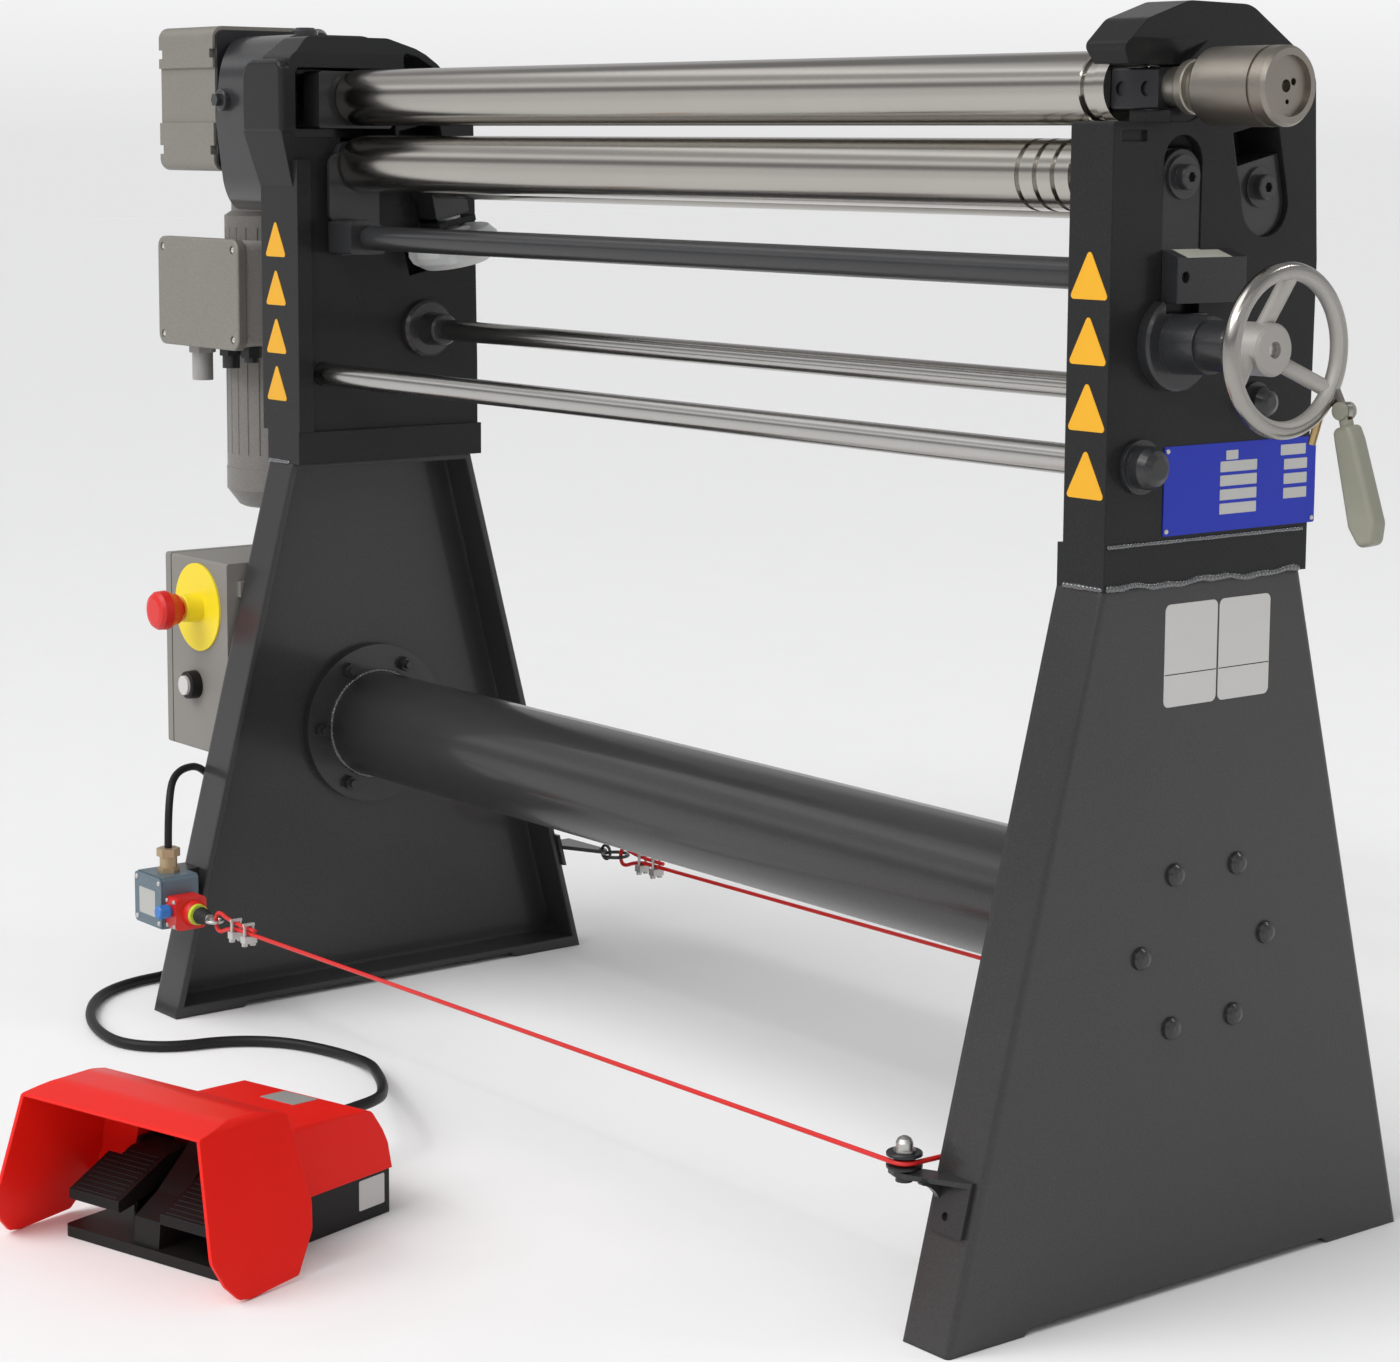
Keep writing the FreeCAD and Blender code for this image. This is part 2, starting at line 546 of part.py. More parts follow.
# ---------------------------------------------------------------- drive end
def gear(centre, teeth_start):
    """Long-toothed gear, so that the pair stays in mesh as the lower roll is lifted."""
    x0, x1 = GEAR_X
    blank = rod("x", centre, GEAR_ROOT, GEAR_X)
    shapes = [blank]
    for k in range(GEAR_TEETH):
        a = math.radians(teeth_start + 360.0 * k / GEAR_TEETH)
        u, v = (math.cos(a), math.sin(a)), (-math.sin(a), math.cos(a))
        pts = []
        for r, half in ((GEAR_ROOT - 2, 3.0), (GEAR_TIP - 3, 2.2), (GEAR_TIP, 1.4)):
            pts.append((r, half))
        ring = pts + [(r, -h) for r, h in reversed(pts)]
        shapes.append(slab("x", [(centre[0] + r * u[0] + h * v[0], centre[1] + r * u[1] + h * v[1])
                                 for r, h in ring], (x0, x1)))
    return fuse(shapes)


def drive():
    """Geared motor, its shaft and coupling, the long-toothed gears and the gear case."""
    y, z = UPPER
    shaft = lathe("x", UPPER, [(-800, 12), (-655, 12), (-655, 7.0), (PIVOT_X - 12, 7.0)])
    ball = Part.makeSphere(15.0, V(PIVOT_X, y, z))
    PARTS["drive_shaft"] = fuse([shaft, ball])
    PARTS["drive_gear"] = gear(UPPER, -90).cut(rod("x", UPPER, 12, (-700, -650)))
    step = 180.0 / GEAR_TEETH
    PARTS["lower_gear"] = gear(LOWER, 90 + step).cut(rod("x", LOWER, 13, (-700, -650)))
    wheel = fuse([rod("x", UPPER, 37, (GEARBOX_X - 9, GEARBOX_X + 9)),
                  rod("x", UPPER, 22, (GEARBOX_X - 30, GEARBOX_X + 30))])
    PARTS["worm_wheel"] = wheel.cut(rod("x", UPPER, 12, (-800, -700)))
    worm_y = y + WORM_CENTRES
    PARTS["worm_shaft"] = lathe("z", (GEARBOX_X, worm_y), [(800, 9), (872, 9), (872, 12.4),
                                                           (942, 12.4), (942, 9), (962, 9)])
    outer = slab("x", [(y - 69, 833, 12), (y + 69, 833, 12), (y + 69, 980, 12), (y - 69, 980, 12)],
                 (-806, -694))
    band = [box((-830, -690), (y - 75, y - 66.5), (882, 938))]
    grooves_ = []
    for zc in (952.5, 854.5):
        grooves_.append(box((-806.5, -799), (y - 75, y + 75), (zc - 4.5, zc + 4.5)))
        grooves_.append(box((-701, -693.5), (y - 75, y + 75), (zc - 4.5, zc + 4.5)))
    hollow = [rod("x", UPPER, 46, (-800, -693)), rod("z", (GEARBOX_X, worm_y), 20, (834, 970)),
              rod("z", (GEARBOX_X, worm_y), 14, (830, 840))]
    PARTS["gearbox"] = cut(outer, band + grooves_ + hollow + [rod("x", UPPER, 12 + RUN,
                                                                  (-801, -700))])
    gasket = slab("x", [(y - 66, 835, 8), (y + 66, 835, 8), (y + 66, 976, 8), (y - 66, 976, 8)],
                  (-694, -690))
    PARTS["gearbox_plate"] = gasket.cut(rod("x", UPPER, 30, (-695, -689)))
    case_in = [(-101, 799, 29), (35, 799, 25), (35, 965, 29), (-101, 965, 41)]
    gear_room = [(-76, 799, 12), (35, 799, 25), (35, 965, 29), (-76, 965, 12)]
    case = slab("x", CASE, (-690, -STAND_X))
    case = cut(case, [slab("x", case_in, (-657, -STAND_X + 1)),
                      slab("x", gear_room, (-685, -656))])
    wedges = []
    for low, high in (((-663, -76, 793), (-683, -96, 884)), ((-683, -96, 884), (-668, -80, 971))):
        wires = []
        for x, y0, z0 in (low, high):
            corner = [V(-691, -107, z0), V(x, -107, z0), V(-691, y0, z0)]
            wires.append(Part.makePolygon(corner + corner[:1]))
        wedges.append(Part.makeLoft(wires, True, True))
    case = cut(case, wedges)
    boss = lathe("y", (-664, 905), [(-113, 9), (-112, 11), (-100, 12)])
    bolt = hexagon("y", (-664, 905), 12, (-119, -113))
    case = fuse([case, boss, bolt])
    shelf = box((-651, -592), (y - 40, y + 40), (867.5, 876.5))
    shelf = fuse([shelf, box((-651, -592), (-103, y - 30), (867.5, 876.5)),
                  box((-651, -592), (y + 30, 37), (867.5, 876.5))])
    roof = rod("z", (PIVOT_X, y), 18, (938.5, 967))
    case = fuse([case, shelf, roof])
    case = cut(case, [rod("x", UPPER, 30, (-695, -684)), rod("z", (PIVOT_X, y), 7, (860, 980))])
    top_pin = lathe("z", (PIVOT_X, y), [(930.2, 7), (970, 7), (970, 13), (975, 13), (978, 9)])
    low_pin = rod("z", (PIVOT_X, y), 7, (868, 884))
    PARTS["gear_case"] = group([case, top_pin, low_pin])
    motor()
    terminal_box()


def motor():
    """Flange-mounted vertical motor hanging below the worm gearbox."""
    c = (GEARBOX_X, UPPER[0] + WORM_CENTRES)
    body = lathe("z", c, [(520, 66), (786, 66), (791, 58.5), (833, 58.5)])
    ribs = []
    for p in around(c, 66.5, 28, 6.4):
        ribs.append(rod("z", p, 1.6, (535, 774)))
    body = body.cut(rod("z", c, 9.5, (798, 840)))
    cover = lathe("z", c, [(478, 50), (480, 54), (497, 66.6), (520, 66.6)])
    PARTS["motor"] = group([cut(body, ribs), cover])


def terminal_box():
    """Motor terminal box: body, lid with four screws, and the glands beneath it."""
    y0 = UPPER[0] + WORM_CENTRES - 66
    body = slab("y", [(-826, 653, 10), (-665, 653, 10), (-665, 761, 10), (-826, 761, 10)],
                (-86, y0 + 14))
    PARTS["terminal_box"] = body.cut(rod("z", (GEARBOX_X, UPPER[0] + WORM_CENTRES), 66.0,
                                         (640, 770)))
    lid = slab("y", [(-829, 650, 12), (-662, 650, 12), (-662, 764, 12), (-829, 764, 12)],
               (-96, -86))
    lid = soften(lid, 2.5, lambda e: abs(e.CenterOfMass.y + 96) < 0.1)
    holes = [rod("y", (x, z), 4.2, (-97, -92)) for x in (-818, -673) for z in (661, 753)]
    PARTS["terminal_lid"] = cut(lid, holes)
    for x, r, drop in ((-782, 13, 40), (-722, 11, 24), (-680, 10, 16)):
        GLANDS.append(fuse([hexagon("z", (x, -70), 2 * r - 1, (642, 653), 15),
                            rod("z", (x, -70), r - 2, (653 - drop, 642))]))


# ---------------------------------------------------------------- handwheel
def handwheel():
    """Boss, lifting shaft, three-spoked wheel, stud and the folding grip."""
    y, z = WHEEL
    boss = lathe("x", WHEEL, [(STAND_X, 35), (STAND_X + 9, 35), (STAND_X + 11, 33),
                              (STAND_X + 11, 23), (628, 21), (628, 18.5), (652, 18.5), (654, 17)])
    boss = cut(boss, [rod("x", WHEEL, 12 + RUN, (580, 660)), box((580, 612), (-60, 30), (744.5, 770))])
    PARTS["handwheel_boss"] = boss
    shaft = fuse([rod("x", WHEEL, 12, (531, 657)), rod("x", WHEEL, 10, (657, 684)),
                  rod("x", (y - 1.5, z), 10.0, (531.5, 544))])
    PARTS["lift_shaft"] = shaft
    hub = lathe("x", WHEEL, [(657, 17), (660, 19), (686, 19), (688, 17)])
    hub = cut(hub, [rod("x", WHEEL, 10, (650, 684)), rod("x", WHEEL, 6, (683, 690))])
    rim = Part.makeTorus(WHEEL_R - RIM_R, RIM_R, V(WHEEL_X, y, z), V(1, 0, 0))
    spokes = []
    for angle in (85, -32, 205):
        a = math.radians(angle)
        u = (math.cos(a), math.sin(a))
        start = (674, y + 14 * u[0], z + 14 * u[1])
        end = (WHEEL_X - 1, y + 55 * u[0], z + 55 * u[1])
        spokes.append(bar(start, end, 6.0))
    wheel = fuse([hub, rim] + spokes)
    hx, hy, hz = HINGE
    tongue = slab("y", [(hx - 1, hz + 6.2), (WHEEL_X + 4, 699), (WHEEL_X - 4, 692), (hx - 6.4, hz - 1)],
                  (hy - 2.4, hy + 2.4))
    tongue = fuse([tongue, rod("y", (hx, hz), 6.6, (hy - 2.4, hy + 2.4))])
    stud = bar((698, -3.4, 681), (691, -5, 655), 3.0)
    wheel = fuse([wheel, tongue, stud]).cut(rod("x", WHEEL, 10, (650, 684)))
    PARTS["handwheel"] = wheel.cut(rod("y", (hx, hz), 2.5 + RUN, (hy - 3, hy + 3)))
    lean = math.atan2(25.0, 83.0)
    down = V(math.sin(lean), 0, -math.cos(lean))
    top = V(*HINGE)
    cheeks = rod("y", (hx, hz), 6.4, (hy - 6, hy + 6))
    neck = Part.makeCylinder(5.0, 14, top + down * 4.5, down)
    paddle = slab("y", [(-8.5, -11, 5), (7.5, -11, 4), (9.5, -22, 10), (12.4, -84, 10),
                        (6.0, -98, 6), (-6.5, -98, 6), (-12.4, -82, 10), (-9.5, -22, 10)],
                  (-8.0, 8.0))
    paddle = soften(paddle, 4.0, lambda e: abs(abs(e.CenterOfMass.y) - 8.0) < 0.1)
    paddle.rotate(V(0, 0, 0), V(0, 1, 0), -math.degrees(lean))
    paddle.translate(top)
    grip = fuse([cheeks, neck, paddle])
    slot = Part.makeBox(24, 5.4, 19.5, V(-12, -2.7, -7.3))
    slot.rotate(V(0, 0, 0), V(0, 1, 0), -math.degrees(lean))
    slot.translate(top)
    pin = rod("y", (hx, hz), 2.5, (hy - 6, hy + 6))
    PARTS["folding_grip"] = fuse([grip.cut(slot), pin])


# ---------------------------------------------------------------- control box
def control_box():
    """Control box on the far stand, with the stop mushroom, push button and glands."""
    x0, x1 = -721.0, -594.0
    y0, y1 = -152.0, 28.0
    z0, z1 = 243.0, 442.0
    body = box((x0 + 14, x1), (y0, y1), (z0, z1))
    body = soften(body, 3.0, lambda e: abs(e.tangentAt(0).x) > 0.9)
    body = body.cut(box((x0, x1 - 3), (y0 + 3, y1 - 3), (z0 + 3, z1 - 3)))
    holes = [rod("y", (-652, 392), 11.2, (y0 - 1, y0 + 5)),
             rod("y", (-660, 311), 11.2, (y0 - 1, y0 + 5)),
             rod("z", SWITCH_EXIT, 6.0, (z0 - 1, z0 + 5)),
             rod("z", FOOT_EXIT, 7.5, (z0 - 1, z0 + 5))]
    pads = [box((x1, -STAND_X), (y, y + 30), (z, z + 16)) for y in (-140, -15) for z in (262, 408)]
    PARTS["control_box"] = fuse([cut(body, holes)] + pads)
    lid = slab("x", [(y0, z0, 3), (y1, z0, 3), (y1, z1, 3), (y0, z1, 3)], (x0, x0 + 12))
    lid = soften(lid, 2.0, lambda e: abs(e.CenterOfMass.x - x0) < 0.1)
    rim = box((x0 + 12, x0 + 14), (y0 + 2, y1 - 2), (z0 + 2, z1 - 2))
    PARTS["control_lid"] = fuse([lid, rim.cut(box((x0 + 11, x0 + 15), (y0 + 5, y1 - 5),
                                                  (z0 + 5, z1 - 5)))])
    face = y0
    disc = rod("y", (-652, 392), 45, (face - 2, face))
    collar = lathe("y", (-652, 392), [(face - 20, 12.5), (face - 19, 14), (face - 2, 15)])
    stem = rod("y", (-652, 392), 11, (face, face + 14))
    stop = fuse([disc, collar, stem])
    PARTS["stop_base"] = stop.cut(rod("y", (-652, 392), 8 + RUN, (face - 21, face + 15)))
    PARTS["stop_button"] = lathe("y", (-652, 392), [
        (face - 52, 12), (face - 50.5, 17), (face - 47, 19.5), (face - 38, 20), (face - 30, 16),
        (face - 26, 15.5), (face - 26, 8), (face + 8, 8)])
    bezel = lathe("y", (-660, 311), [(face - 12, 12.4), (face - 11, 14), (face - 3, 14.5),
                                     (face, 14.5), (face, 11), (face + 14, 11)])
    PARTS["push_bezel"] = bezel.cut(rod("y", (-660, 311), 10.05, (face - 13, face + 15)))
    PARTS["push_cap"] = lathe("y", (-660, 311), [(face - 15.5, 9), (face - 15, 10), (face + 6, 10)])
    for centre, r in ((SWITCH_EXIT, 9.0), (FOOT_EXIT, 10.5)):
        GLANDS.append(fuse([hexagon("z", centre, 2 * r, (z0 - 5, z0), 15),
                            rod("z", centre, r - 1.5, (EXIT_Z, z0 - 5)),
                            rod("z", centre, r - 3, (z0, z0 + 8))]))


# ---------------------------------------------------------------- rope-pull stop
def rope_switch():
    """Rope-pull switch on the far stand's front flange, with its reset knob and eye."""
    y, z = -ROPE_Y, 114.5
    knob_x = -515.5
    body = slab("y", [(-580, 96, 5), (-525, 96, 5), (-525, 148, 5), (-580, 148, 5)], (-266, -228))
    cover = slab("y", [(-580, 97, 5), (-526.5, 97, 5), (-526.5, 147, 5), (-580, 147, 5)],
                 (-268.5, -266))
    back = slab("x", [(-228, 98), (-228, 146), (-leg_y(146), 146), (-leg_y(98), 98)], (-584, -556))
    PARTS["rope_switch_body"] = fuse([body, cover, back])
    head = slab("x", [(y - 20, z - 16, 5), (y + 14, z - 16, 5), (y + 14, z + 16, 5),
                      (y - 20, z + 16, 5)], (-525, -505))
    nose = lathe("x", (y, z), [(-505, 13), (-500, 11.5), (-498, 10)])
    PARTS["rope_switch_head"] = cut(fuse([head, nose]),
                                    [rod("y", (knob_x, z + 3), 4.55, (-270, -255))])
    bellows = lathe("x", (y, z), [(-498, 10.5), (-494, 10), (-494, 7.5), (-491, 8.5), (-489, 6.5),
                                  (-486, 8), (-484, 6), (-481, 7), (-479, 5), (-473, 4.5)])
    eye = fuse([ring((-464.5, y, z), 7.5, 1.8, (0, 0, 1)), bar((-474, y, z), (-471, y, z), 2.5)])
    PARTS["switch_bellows"] = fuse([bellows, eye])
    PARTS["reset_knob"] = lathe("y", (knob_x, z + 3), [(-279, 5.5), (-277.5, 6.8), (-268, 6.8),
                                                       (-266, 6), (-266, 4.5), (-256, 4.5)])
    GLANDS.append(fuse([hexagon("z", SWITCH_TOP, 19, (148, 153)),
                        rod("z", SWITCH_TOP, 8.6, (153, 164)),
                        hexagon("z", SWITCH_TOP, 20, (164, 172))]))


def ring(centre, radius, section, normal):
    """Plain round ring."""
    return Part.makeTorus(radius, section, V(*centre), V(*normal))


def bent_bar(points, radius):
    """Round rope along straight runs; each inner point carries its own bend radius."""
    pts = [V(*p[:3]) for p in points]
    edges, last = [], pts[0]
    for i in range(1, len(pts) - 1):
        here, bend = pts[i], points[i][3]
        a = (pts[i - 1] - here).normalize()
        b = (pts[i + 1] - here).normalize()
        turn = math.pi - a.getAngle(b)
        reach = bend * math.tan(turn / 2)
        top = here + (a + b).normalize() * (bend / math.cos(turn / 2) - bend)
        edges.append(Part.makeLine(last, here + a * reach))
        edges.append(Part.Arc(here + a * reach, top, here + b * reach).toShape())
        last = here + b * reach
    edges.append(Part.makeLine(last, pts[-1]))
    start = Part.Wire([Part.makeCircle(radius, pts[0], pts[1] - pts[0])])
    return Part.Wire(edges).makePipeShell([start], True, False)


def rope():
    """Pull rope round its two pulleys, with the end loops, wire clips and the rear anchor."""
    y, x = ROPE_Y, PULLEY[0] + PULLEY_BEND
    za, zb = PULLEY_Z[-1], PULLEY_Z[1]
    ends = ((-441.5, -y, 114.5), (-441.5, y, 112.5))
    loops = []
    for px, py, pz in ends:
        loops.append([(px + 54, py, pz + 5.2), (px + 10, py, pz + 4.8, 14),
                      (px - 20, py, pz + 13, 9.4), (px - 20, py, pz - 12, 9.4),
                      (px + 10, py, pz, 14)])
    corners = [(x, -y, za, PULLEY_BEND), (x, y, zb, PULLEY_BEND)]
    PARTS["pull_rope"] = bent_bar(loops[0] + corners + loops[1][::-1], ROPE_R)
    clips = []
    for (px, py, pz), rise in zip(ends, (za - ends[0][2], zb - ends[1][2])):
        for shift in (18.0, 42.0):
            cx, cz = px + shift, pz + rise * (shift - 10) / (x - px - 10)
            saddle = box((cx - 4.5, cx + 4.5), (py - 6.5, py + 6.5), (cz - 9, cz - 2.3))
            bow = box((cx - 1.5, cx + 1.5), (py - 5.9, py + 5.9), (cz + 7.6, cz + 10))
            clip = [saddle, bow]
            for side in (-1, 1):
                leg = (cx, py + side * 4.4)
                clip.append(rod("z", leg, 1.5, (cz - 12, cz + 9)))
                clip.append(hexagon("z", leg, 5, (cz - 12, cz - 9)))
            clips.append(fuse(clip))
    PARTS["rope_clips"] = group(clips)
    z = ends[1][2]
    plate = slab("x", [(leg_y(92), 92), (leg_y(92) + 4, 92), (leg_y(126) + 4, 126),
                       (leg_y(126), 126)], (-580, -536))
    arm = slab("z", [(-560, leg_y(z) + 1.2), (-536, leg_y(z) + 1.2), (-494, y - 5), (-488, y - 1.5),
                     (-488, y + 1.5), (-494, y + 5), (-560, y + 3)], (z - 2, z + 2))
    anchor = fuse([plate, arm]).cut(rod("z", (-495.6, y), 3.4, (z - 3, z + 3)))
    PARTS["rope_anchor"] = group([anchor, ring((-487.9, y, z), 7.3, 1.6, (0, 1, 0)),
                                  ring((-470.8, y, z), 13.6, 1.8, (0, 0, 1))])


def pulleys():
    """Two rope pulleys on brackets bolted to the near stand's flanges."""
    brackets, bolts = [], []
    for sign, name in ((-1, "front"), (1, "rear")):
        z = PULLEY_Z[sign]
        x, y = PULLEY[0], sign * PULLEY[1]
        wheel = lathe("z", (x, y), [(z - 6, 13), (z - 5.4, 13.5), (z - 3.6, 13.5), (z - 2.3, 8.3),
                                    (z + 2.3, 8.3), (z + 3.6, 13.5), (z + 5.4, 13.5), (z + 6, 13)])
        PARTS["pulley_" + name] = wheel.cut(rod("z", (x, y), 4 + RUN, (z - 7, z + 7)))
        plate_z = z - 7.2
        low, high = plate_z - 40, plate_z
        tab = slab("x", [(sign * leg_y(low), low), (sign * (leg_y(low) + 4), low),
                         (sign * (leg_y(high) + 4), high), (sign * leg_y(high), high)], (546, 580))
        arm = slab("z", [(x - 10, y - sign * 2), (x - 10, y + sign * 7), (x, y + sign * 10),
                         (x + 12, y + sign * 8), (580, sign * (leg_y(high) + 4.0)),
                         (580, sign * (leg_y(high) + 1.2)), (546, sign * (leg_y(high) + 1.2))],
                   (plate_z - 4, plate_z))
        root = leg_y(plate_z - 4) + 3
        heel = leg_y(plate_z - 24) + 3
        gusset = slab("x", [(sign * root, plate_z - 3), (sign * heel, plate_z - 24),
                            (sign * (root + 22), plate_z - 3)], (546, 551))
        gusset = gusset.cut(rod("x", (sign * (root + 26), plate_z - 28), 24, (545, 552)))
        bracket = fuse([tab, gusset, arm]).cut(rod("z", (x, y), 4, (plate_z - 6, plate_z + 1)))
        bracket = bracket.cut(bar((560, sign * 150, low + 12), (560, sign * 260, low + 12), 3.2))
        brackets.append(bracket)
        pin = lathe("z", (x, y), [(plate_z - 9, 6.5), (plate_z - 4, 6.5), (plate_z - 4, 4),
                                  (z + 6.3, 4), (z + 6.3, 8.5), (z + 8, 8.5), (z + 8, 6.5),
                                  (z + 13, 6.5), (z + 16, 5), (z + 17.5, 2.5)])
        bolts.append(pin)
    PARTS["pulley_brackets"] = group(brackets + bolts)


# ---------------------------------------------------------------- foot switch
def to_floor(shape):
    """Move a foot-switch shape from its own frame to its place in front of the machine."""
    shape = shape.copy()
    shape.rotate(V(0, 0, 0), V(0, 0, 1), FOOT_TURN)
    shape.translate(V(FOOT_ORIGIN[0], FOOT_ORIGIN[1], 0))
    return shape


def trapezoid(low, high, z0, z1, span, radius=0.0):
    """Slab along Y of a section that narrows upwards, with rounded top corners."""
    return slab("y", [(-low, z0), (low, z0), (high, z1, radius), (-high, z1, radius)], span)


def foot_switch():
    """Two-treadle foot switch: black base, red guard, sprung treadles, rear gland."""
    wide = (-140, 140)
    side = [(-33, 122.5, 2.5), (-44, 34, 12), (-35, 14, 8), (-24, 2.5, 3), (-12, 0.3, 6),
            (40, 3.5, 4), (63, 32, 10), (68, 52, 12), (64, 100, 30), (60, 121.5, 9),
            (34, 127.5, 60), (0, 128, 60)]
    front = trapezoid(130, 97.1, 0, 128, (-70, 80), 9).common(slab("x", side, wide))
    inner_side = [(-50, 118.8), (-60, -5), (53, -5), (64, 50), (60, 98, 20), (56, 117.8, 6),
                  (33, 123.6, 50), (0, 124.2, 50)]
    hollow = trapezoid(126.5, 94.5, 0, 124.4, (-70, 80), 6).common(slab("x", inner_side, wide))
    rear_side = [(44, 37.6), (200, 37.6), (200, 58, 12), (196.5, 69, 10), (187, 86.5, 8),
                 (104, 93, 40), (44, 104)]
    rear = trapezoid(82, 67.9, 30, 95, (40, 205), 8).common(slab("x", rear_side, wide))
    rear_in = [(40, 20), (196.5, 20), (196.5, 57, 9), (193, 67, 7), (184.5, 83.2, 6),
               (104, 89.5, 30), (40, 100)]
    rear_hollow = trapezoid(80.7, 64.4, 20, 95, (30, 205), 5).common(slab("x", rear_in, wide))
    hood = cut(fuse([front, rear]), [hollow, rear_hollow])
    PARTS["foot_guard"] = to_floor(hood)
    plate = slab("z", [(-89, 0, 6), (89, 0, 6), (89, 60, 4), (78, 96), (78, 199), (-78, 199),
                       (-78, 96), (-89, 60, 4)], (0, 9))
    back = box((-78, 78), (96, 199), (9, 37.5))
    rib = slab("x", [(4, 9), (90, 9), (96, 37), (96, 80), (72, 80), (30, 44), (6, 30)], (-14, 14))
    posts = [slab("x", [(56, 9), (98, 9), (98, 70, 4), (60, 70, 4)], s) for s in
             ((-68.5, -64.5), (64.5, 68.5))]
    base = fuse([plate, back, rib] + posts)
    base = base.cut(rod("x", (70, 62), 3, (-68, 68)))
    PARTS["foot_base"] = group([to_floor(base), to_floor(rod("x", (70, 62), 3, (-68, 68)))])
    for name, lo in (("left", -79.0), ("right", 23.0)):
        tread = slab("x", [(-3, 32, 2), (-3, 41, 2), (50, 66, 5), (78, 69, 4), (78, 54, 4),
                           (58, 50), (14, 35)], (lo, lo + 56))
        for k in range(11):
            t = 0.07 + 0.085 * k
            cy, cz = -3 + 53 * t, 40.6 + 25 * t
            tread = tread.fuse(bar((lo + 4, cy, cz), (lo + 52, cy, cz), 1.1))
        shoulder = [box(s, (40, 90), (30, 100)) for s in ((-90, -64.2), (64.2, 90))]
        tread = cut(tread, shoulder + [rod("x", (70, 62), 3 + RUN, wide)])
        PARTS["treadle_" + name] = to_floor(tread)
    gland = fuse([hexagon("y", (FOOT_GLAND, 50), 16, (200.0, 207)),
                  rod("y", (FOOT_GLAND, 50), 7, (207, 220))])
    GLANDS.append(to_floor(gland))


def cables():
    """Two free cables: control box to rope switch, control box to foot switch."""
    cable("switch_cable", [(-645, -60, 231.2), (-645, -60, 166), (-622, -122, 146),
                           (-606, -170, 238), (-580, -222, 243), (-551, -246, 216),
                           (-550, -247, 172.3)], 3.8)
    turn = math.radians(FOOT_TURN)
    end = (FOOT_ORIGIN[0] + FOOT_GLAND * math.cos(turn) - 220 * math.sin(turn),
           FOOT_ORIGIN[1] + FOOT_GLAND * math.sin(turn) + 220 * math.cos(turn), 50.0)
    before = (end[0] - 38 * math.sin(turn), end[1] + 38 * math.cos(turn), 50.0)
    floor = 5.2
    cable("foot_cable", [(-676, -66, 231.2), (-676, -66, 160), (-677, -78, 86),
                         (-678, -110, 27), (-679, -168, floor), (-676, -227, floor), (-650, -275, floor),
                         (-596, -314, floor), (-535, -337, floor), (-478, -340, floor),
                         (-440, -308, floor), (-428, -252, floor), (-390, -210, floor),
                         (-330, -190, floor), (-268, -192, 9), (-210, -221, 18),
                         (-155, -252, 30), (-100, -285, 42), (-58, -315, 49), before, end], 5.0)


def main():
    os.makedirs("parts", exist_ok=True)
    PARTS["stand_near"] = stand(1)
    PARTS["stand_far"] = stand(-1)
    PARTS["head_near"] = head_near()
    PARTS["head_far"] = head_far()
    base_tube()
    tie_rods()
    upper_roll()
    swing_block()
    grip_sleeve()
    lower_roll()
    carriages()
    rear_set()
    drive()
    handwheel()
    control_box()
    rope_switch()
    rope()
    pulleys()
    foot_switch()
    cables()
    PARTS["cable_glands"] = group(GLANDS)
    for name, shape in sorted(PARTS.items()):
        solids = len(shape.Solids)
        if not shape.isValid() or not solids:
            print("CHECK", name, "valid", shape.isValid(), "solids", solids)
        moved = shape.copy()
        moved.translate(V(*ROW_SHIFT))
        moved.exportStep("parts/" + name + ".step")
    print(len(PARTS), "nodes")


main()
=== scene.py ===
"""Looks of a floor-standing three-roll bending machine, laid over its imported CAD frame.

Lengths in the tables are millimetres in the machine's own frame (X along the rolls, -Y the
operator's side, Z up); Site.at() turns them into metres in the row frame.
"""

import logging
import math
from dataclasses import dataclass
from enum import Enum
from typing import Dict, List, Sequence, Tuple, Union

import bmesh
import bpy
from mathutils import Matrix, Vector

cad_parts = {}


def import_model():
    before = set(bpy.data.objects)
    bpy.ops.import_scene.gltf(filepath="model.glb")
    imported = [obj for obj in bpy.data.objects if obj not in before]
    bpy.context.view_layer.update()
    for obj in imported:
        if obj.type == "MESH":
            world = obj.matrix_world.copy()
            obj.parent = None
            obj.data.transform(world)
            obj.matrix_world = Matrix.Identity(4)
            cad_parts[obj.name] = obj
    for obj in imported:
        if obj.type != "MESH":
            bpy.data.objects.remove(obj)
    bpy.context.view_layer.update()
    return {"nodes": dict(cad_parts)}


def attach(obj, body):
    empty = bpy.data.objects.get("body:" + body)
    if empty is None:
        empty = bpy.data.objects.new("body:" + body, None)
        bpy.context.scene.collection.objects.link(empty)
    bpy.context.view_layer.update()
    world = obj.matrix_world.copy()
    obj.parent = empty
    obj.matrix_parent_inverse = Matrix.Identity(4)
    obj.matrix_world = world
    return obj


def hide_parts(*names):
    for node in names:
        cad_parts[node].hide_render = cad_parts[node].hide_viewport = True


LOG = logging.getLogger("bending_machine")
Vec3 = Tuple[float, float, float]
Colour = Tuple[float, float, float]
Socket = bpy.types.NodeSocket
FRAME_BODY = "frame"
MM = 0.001


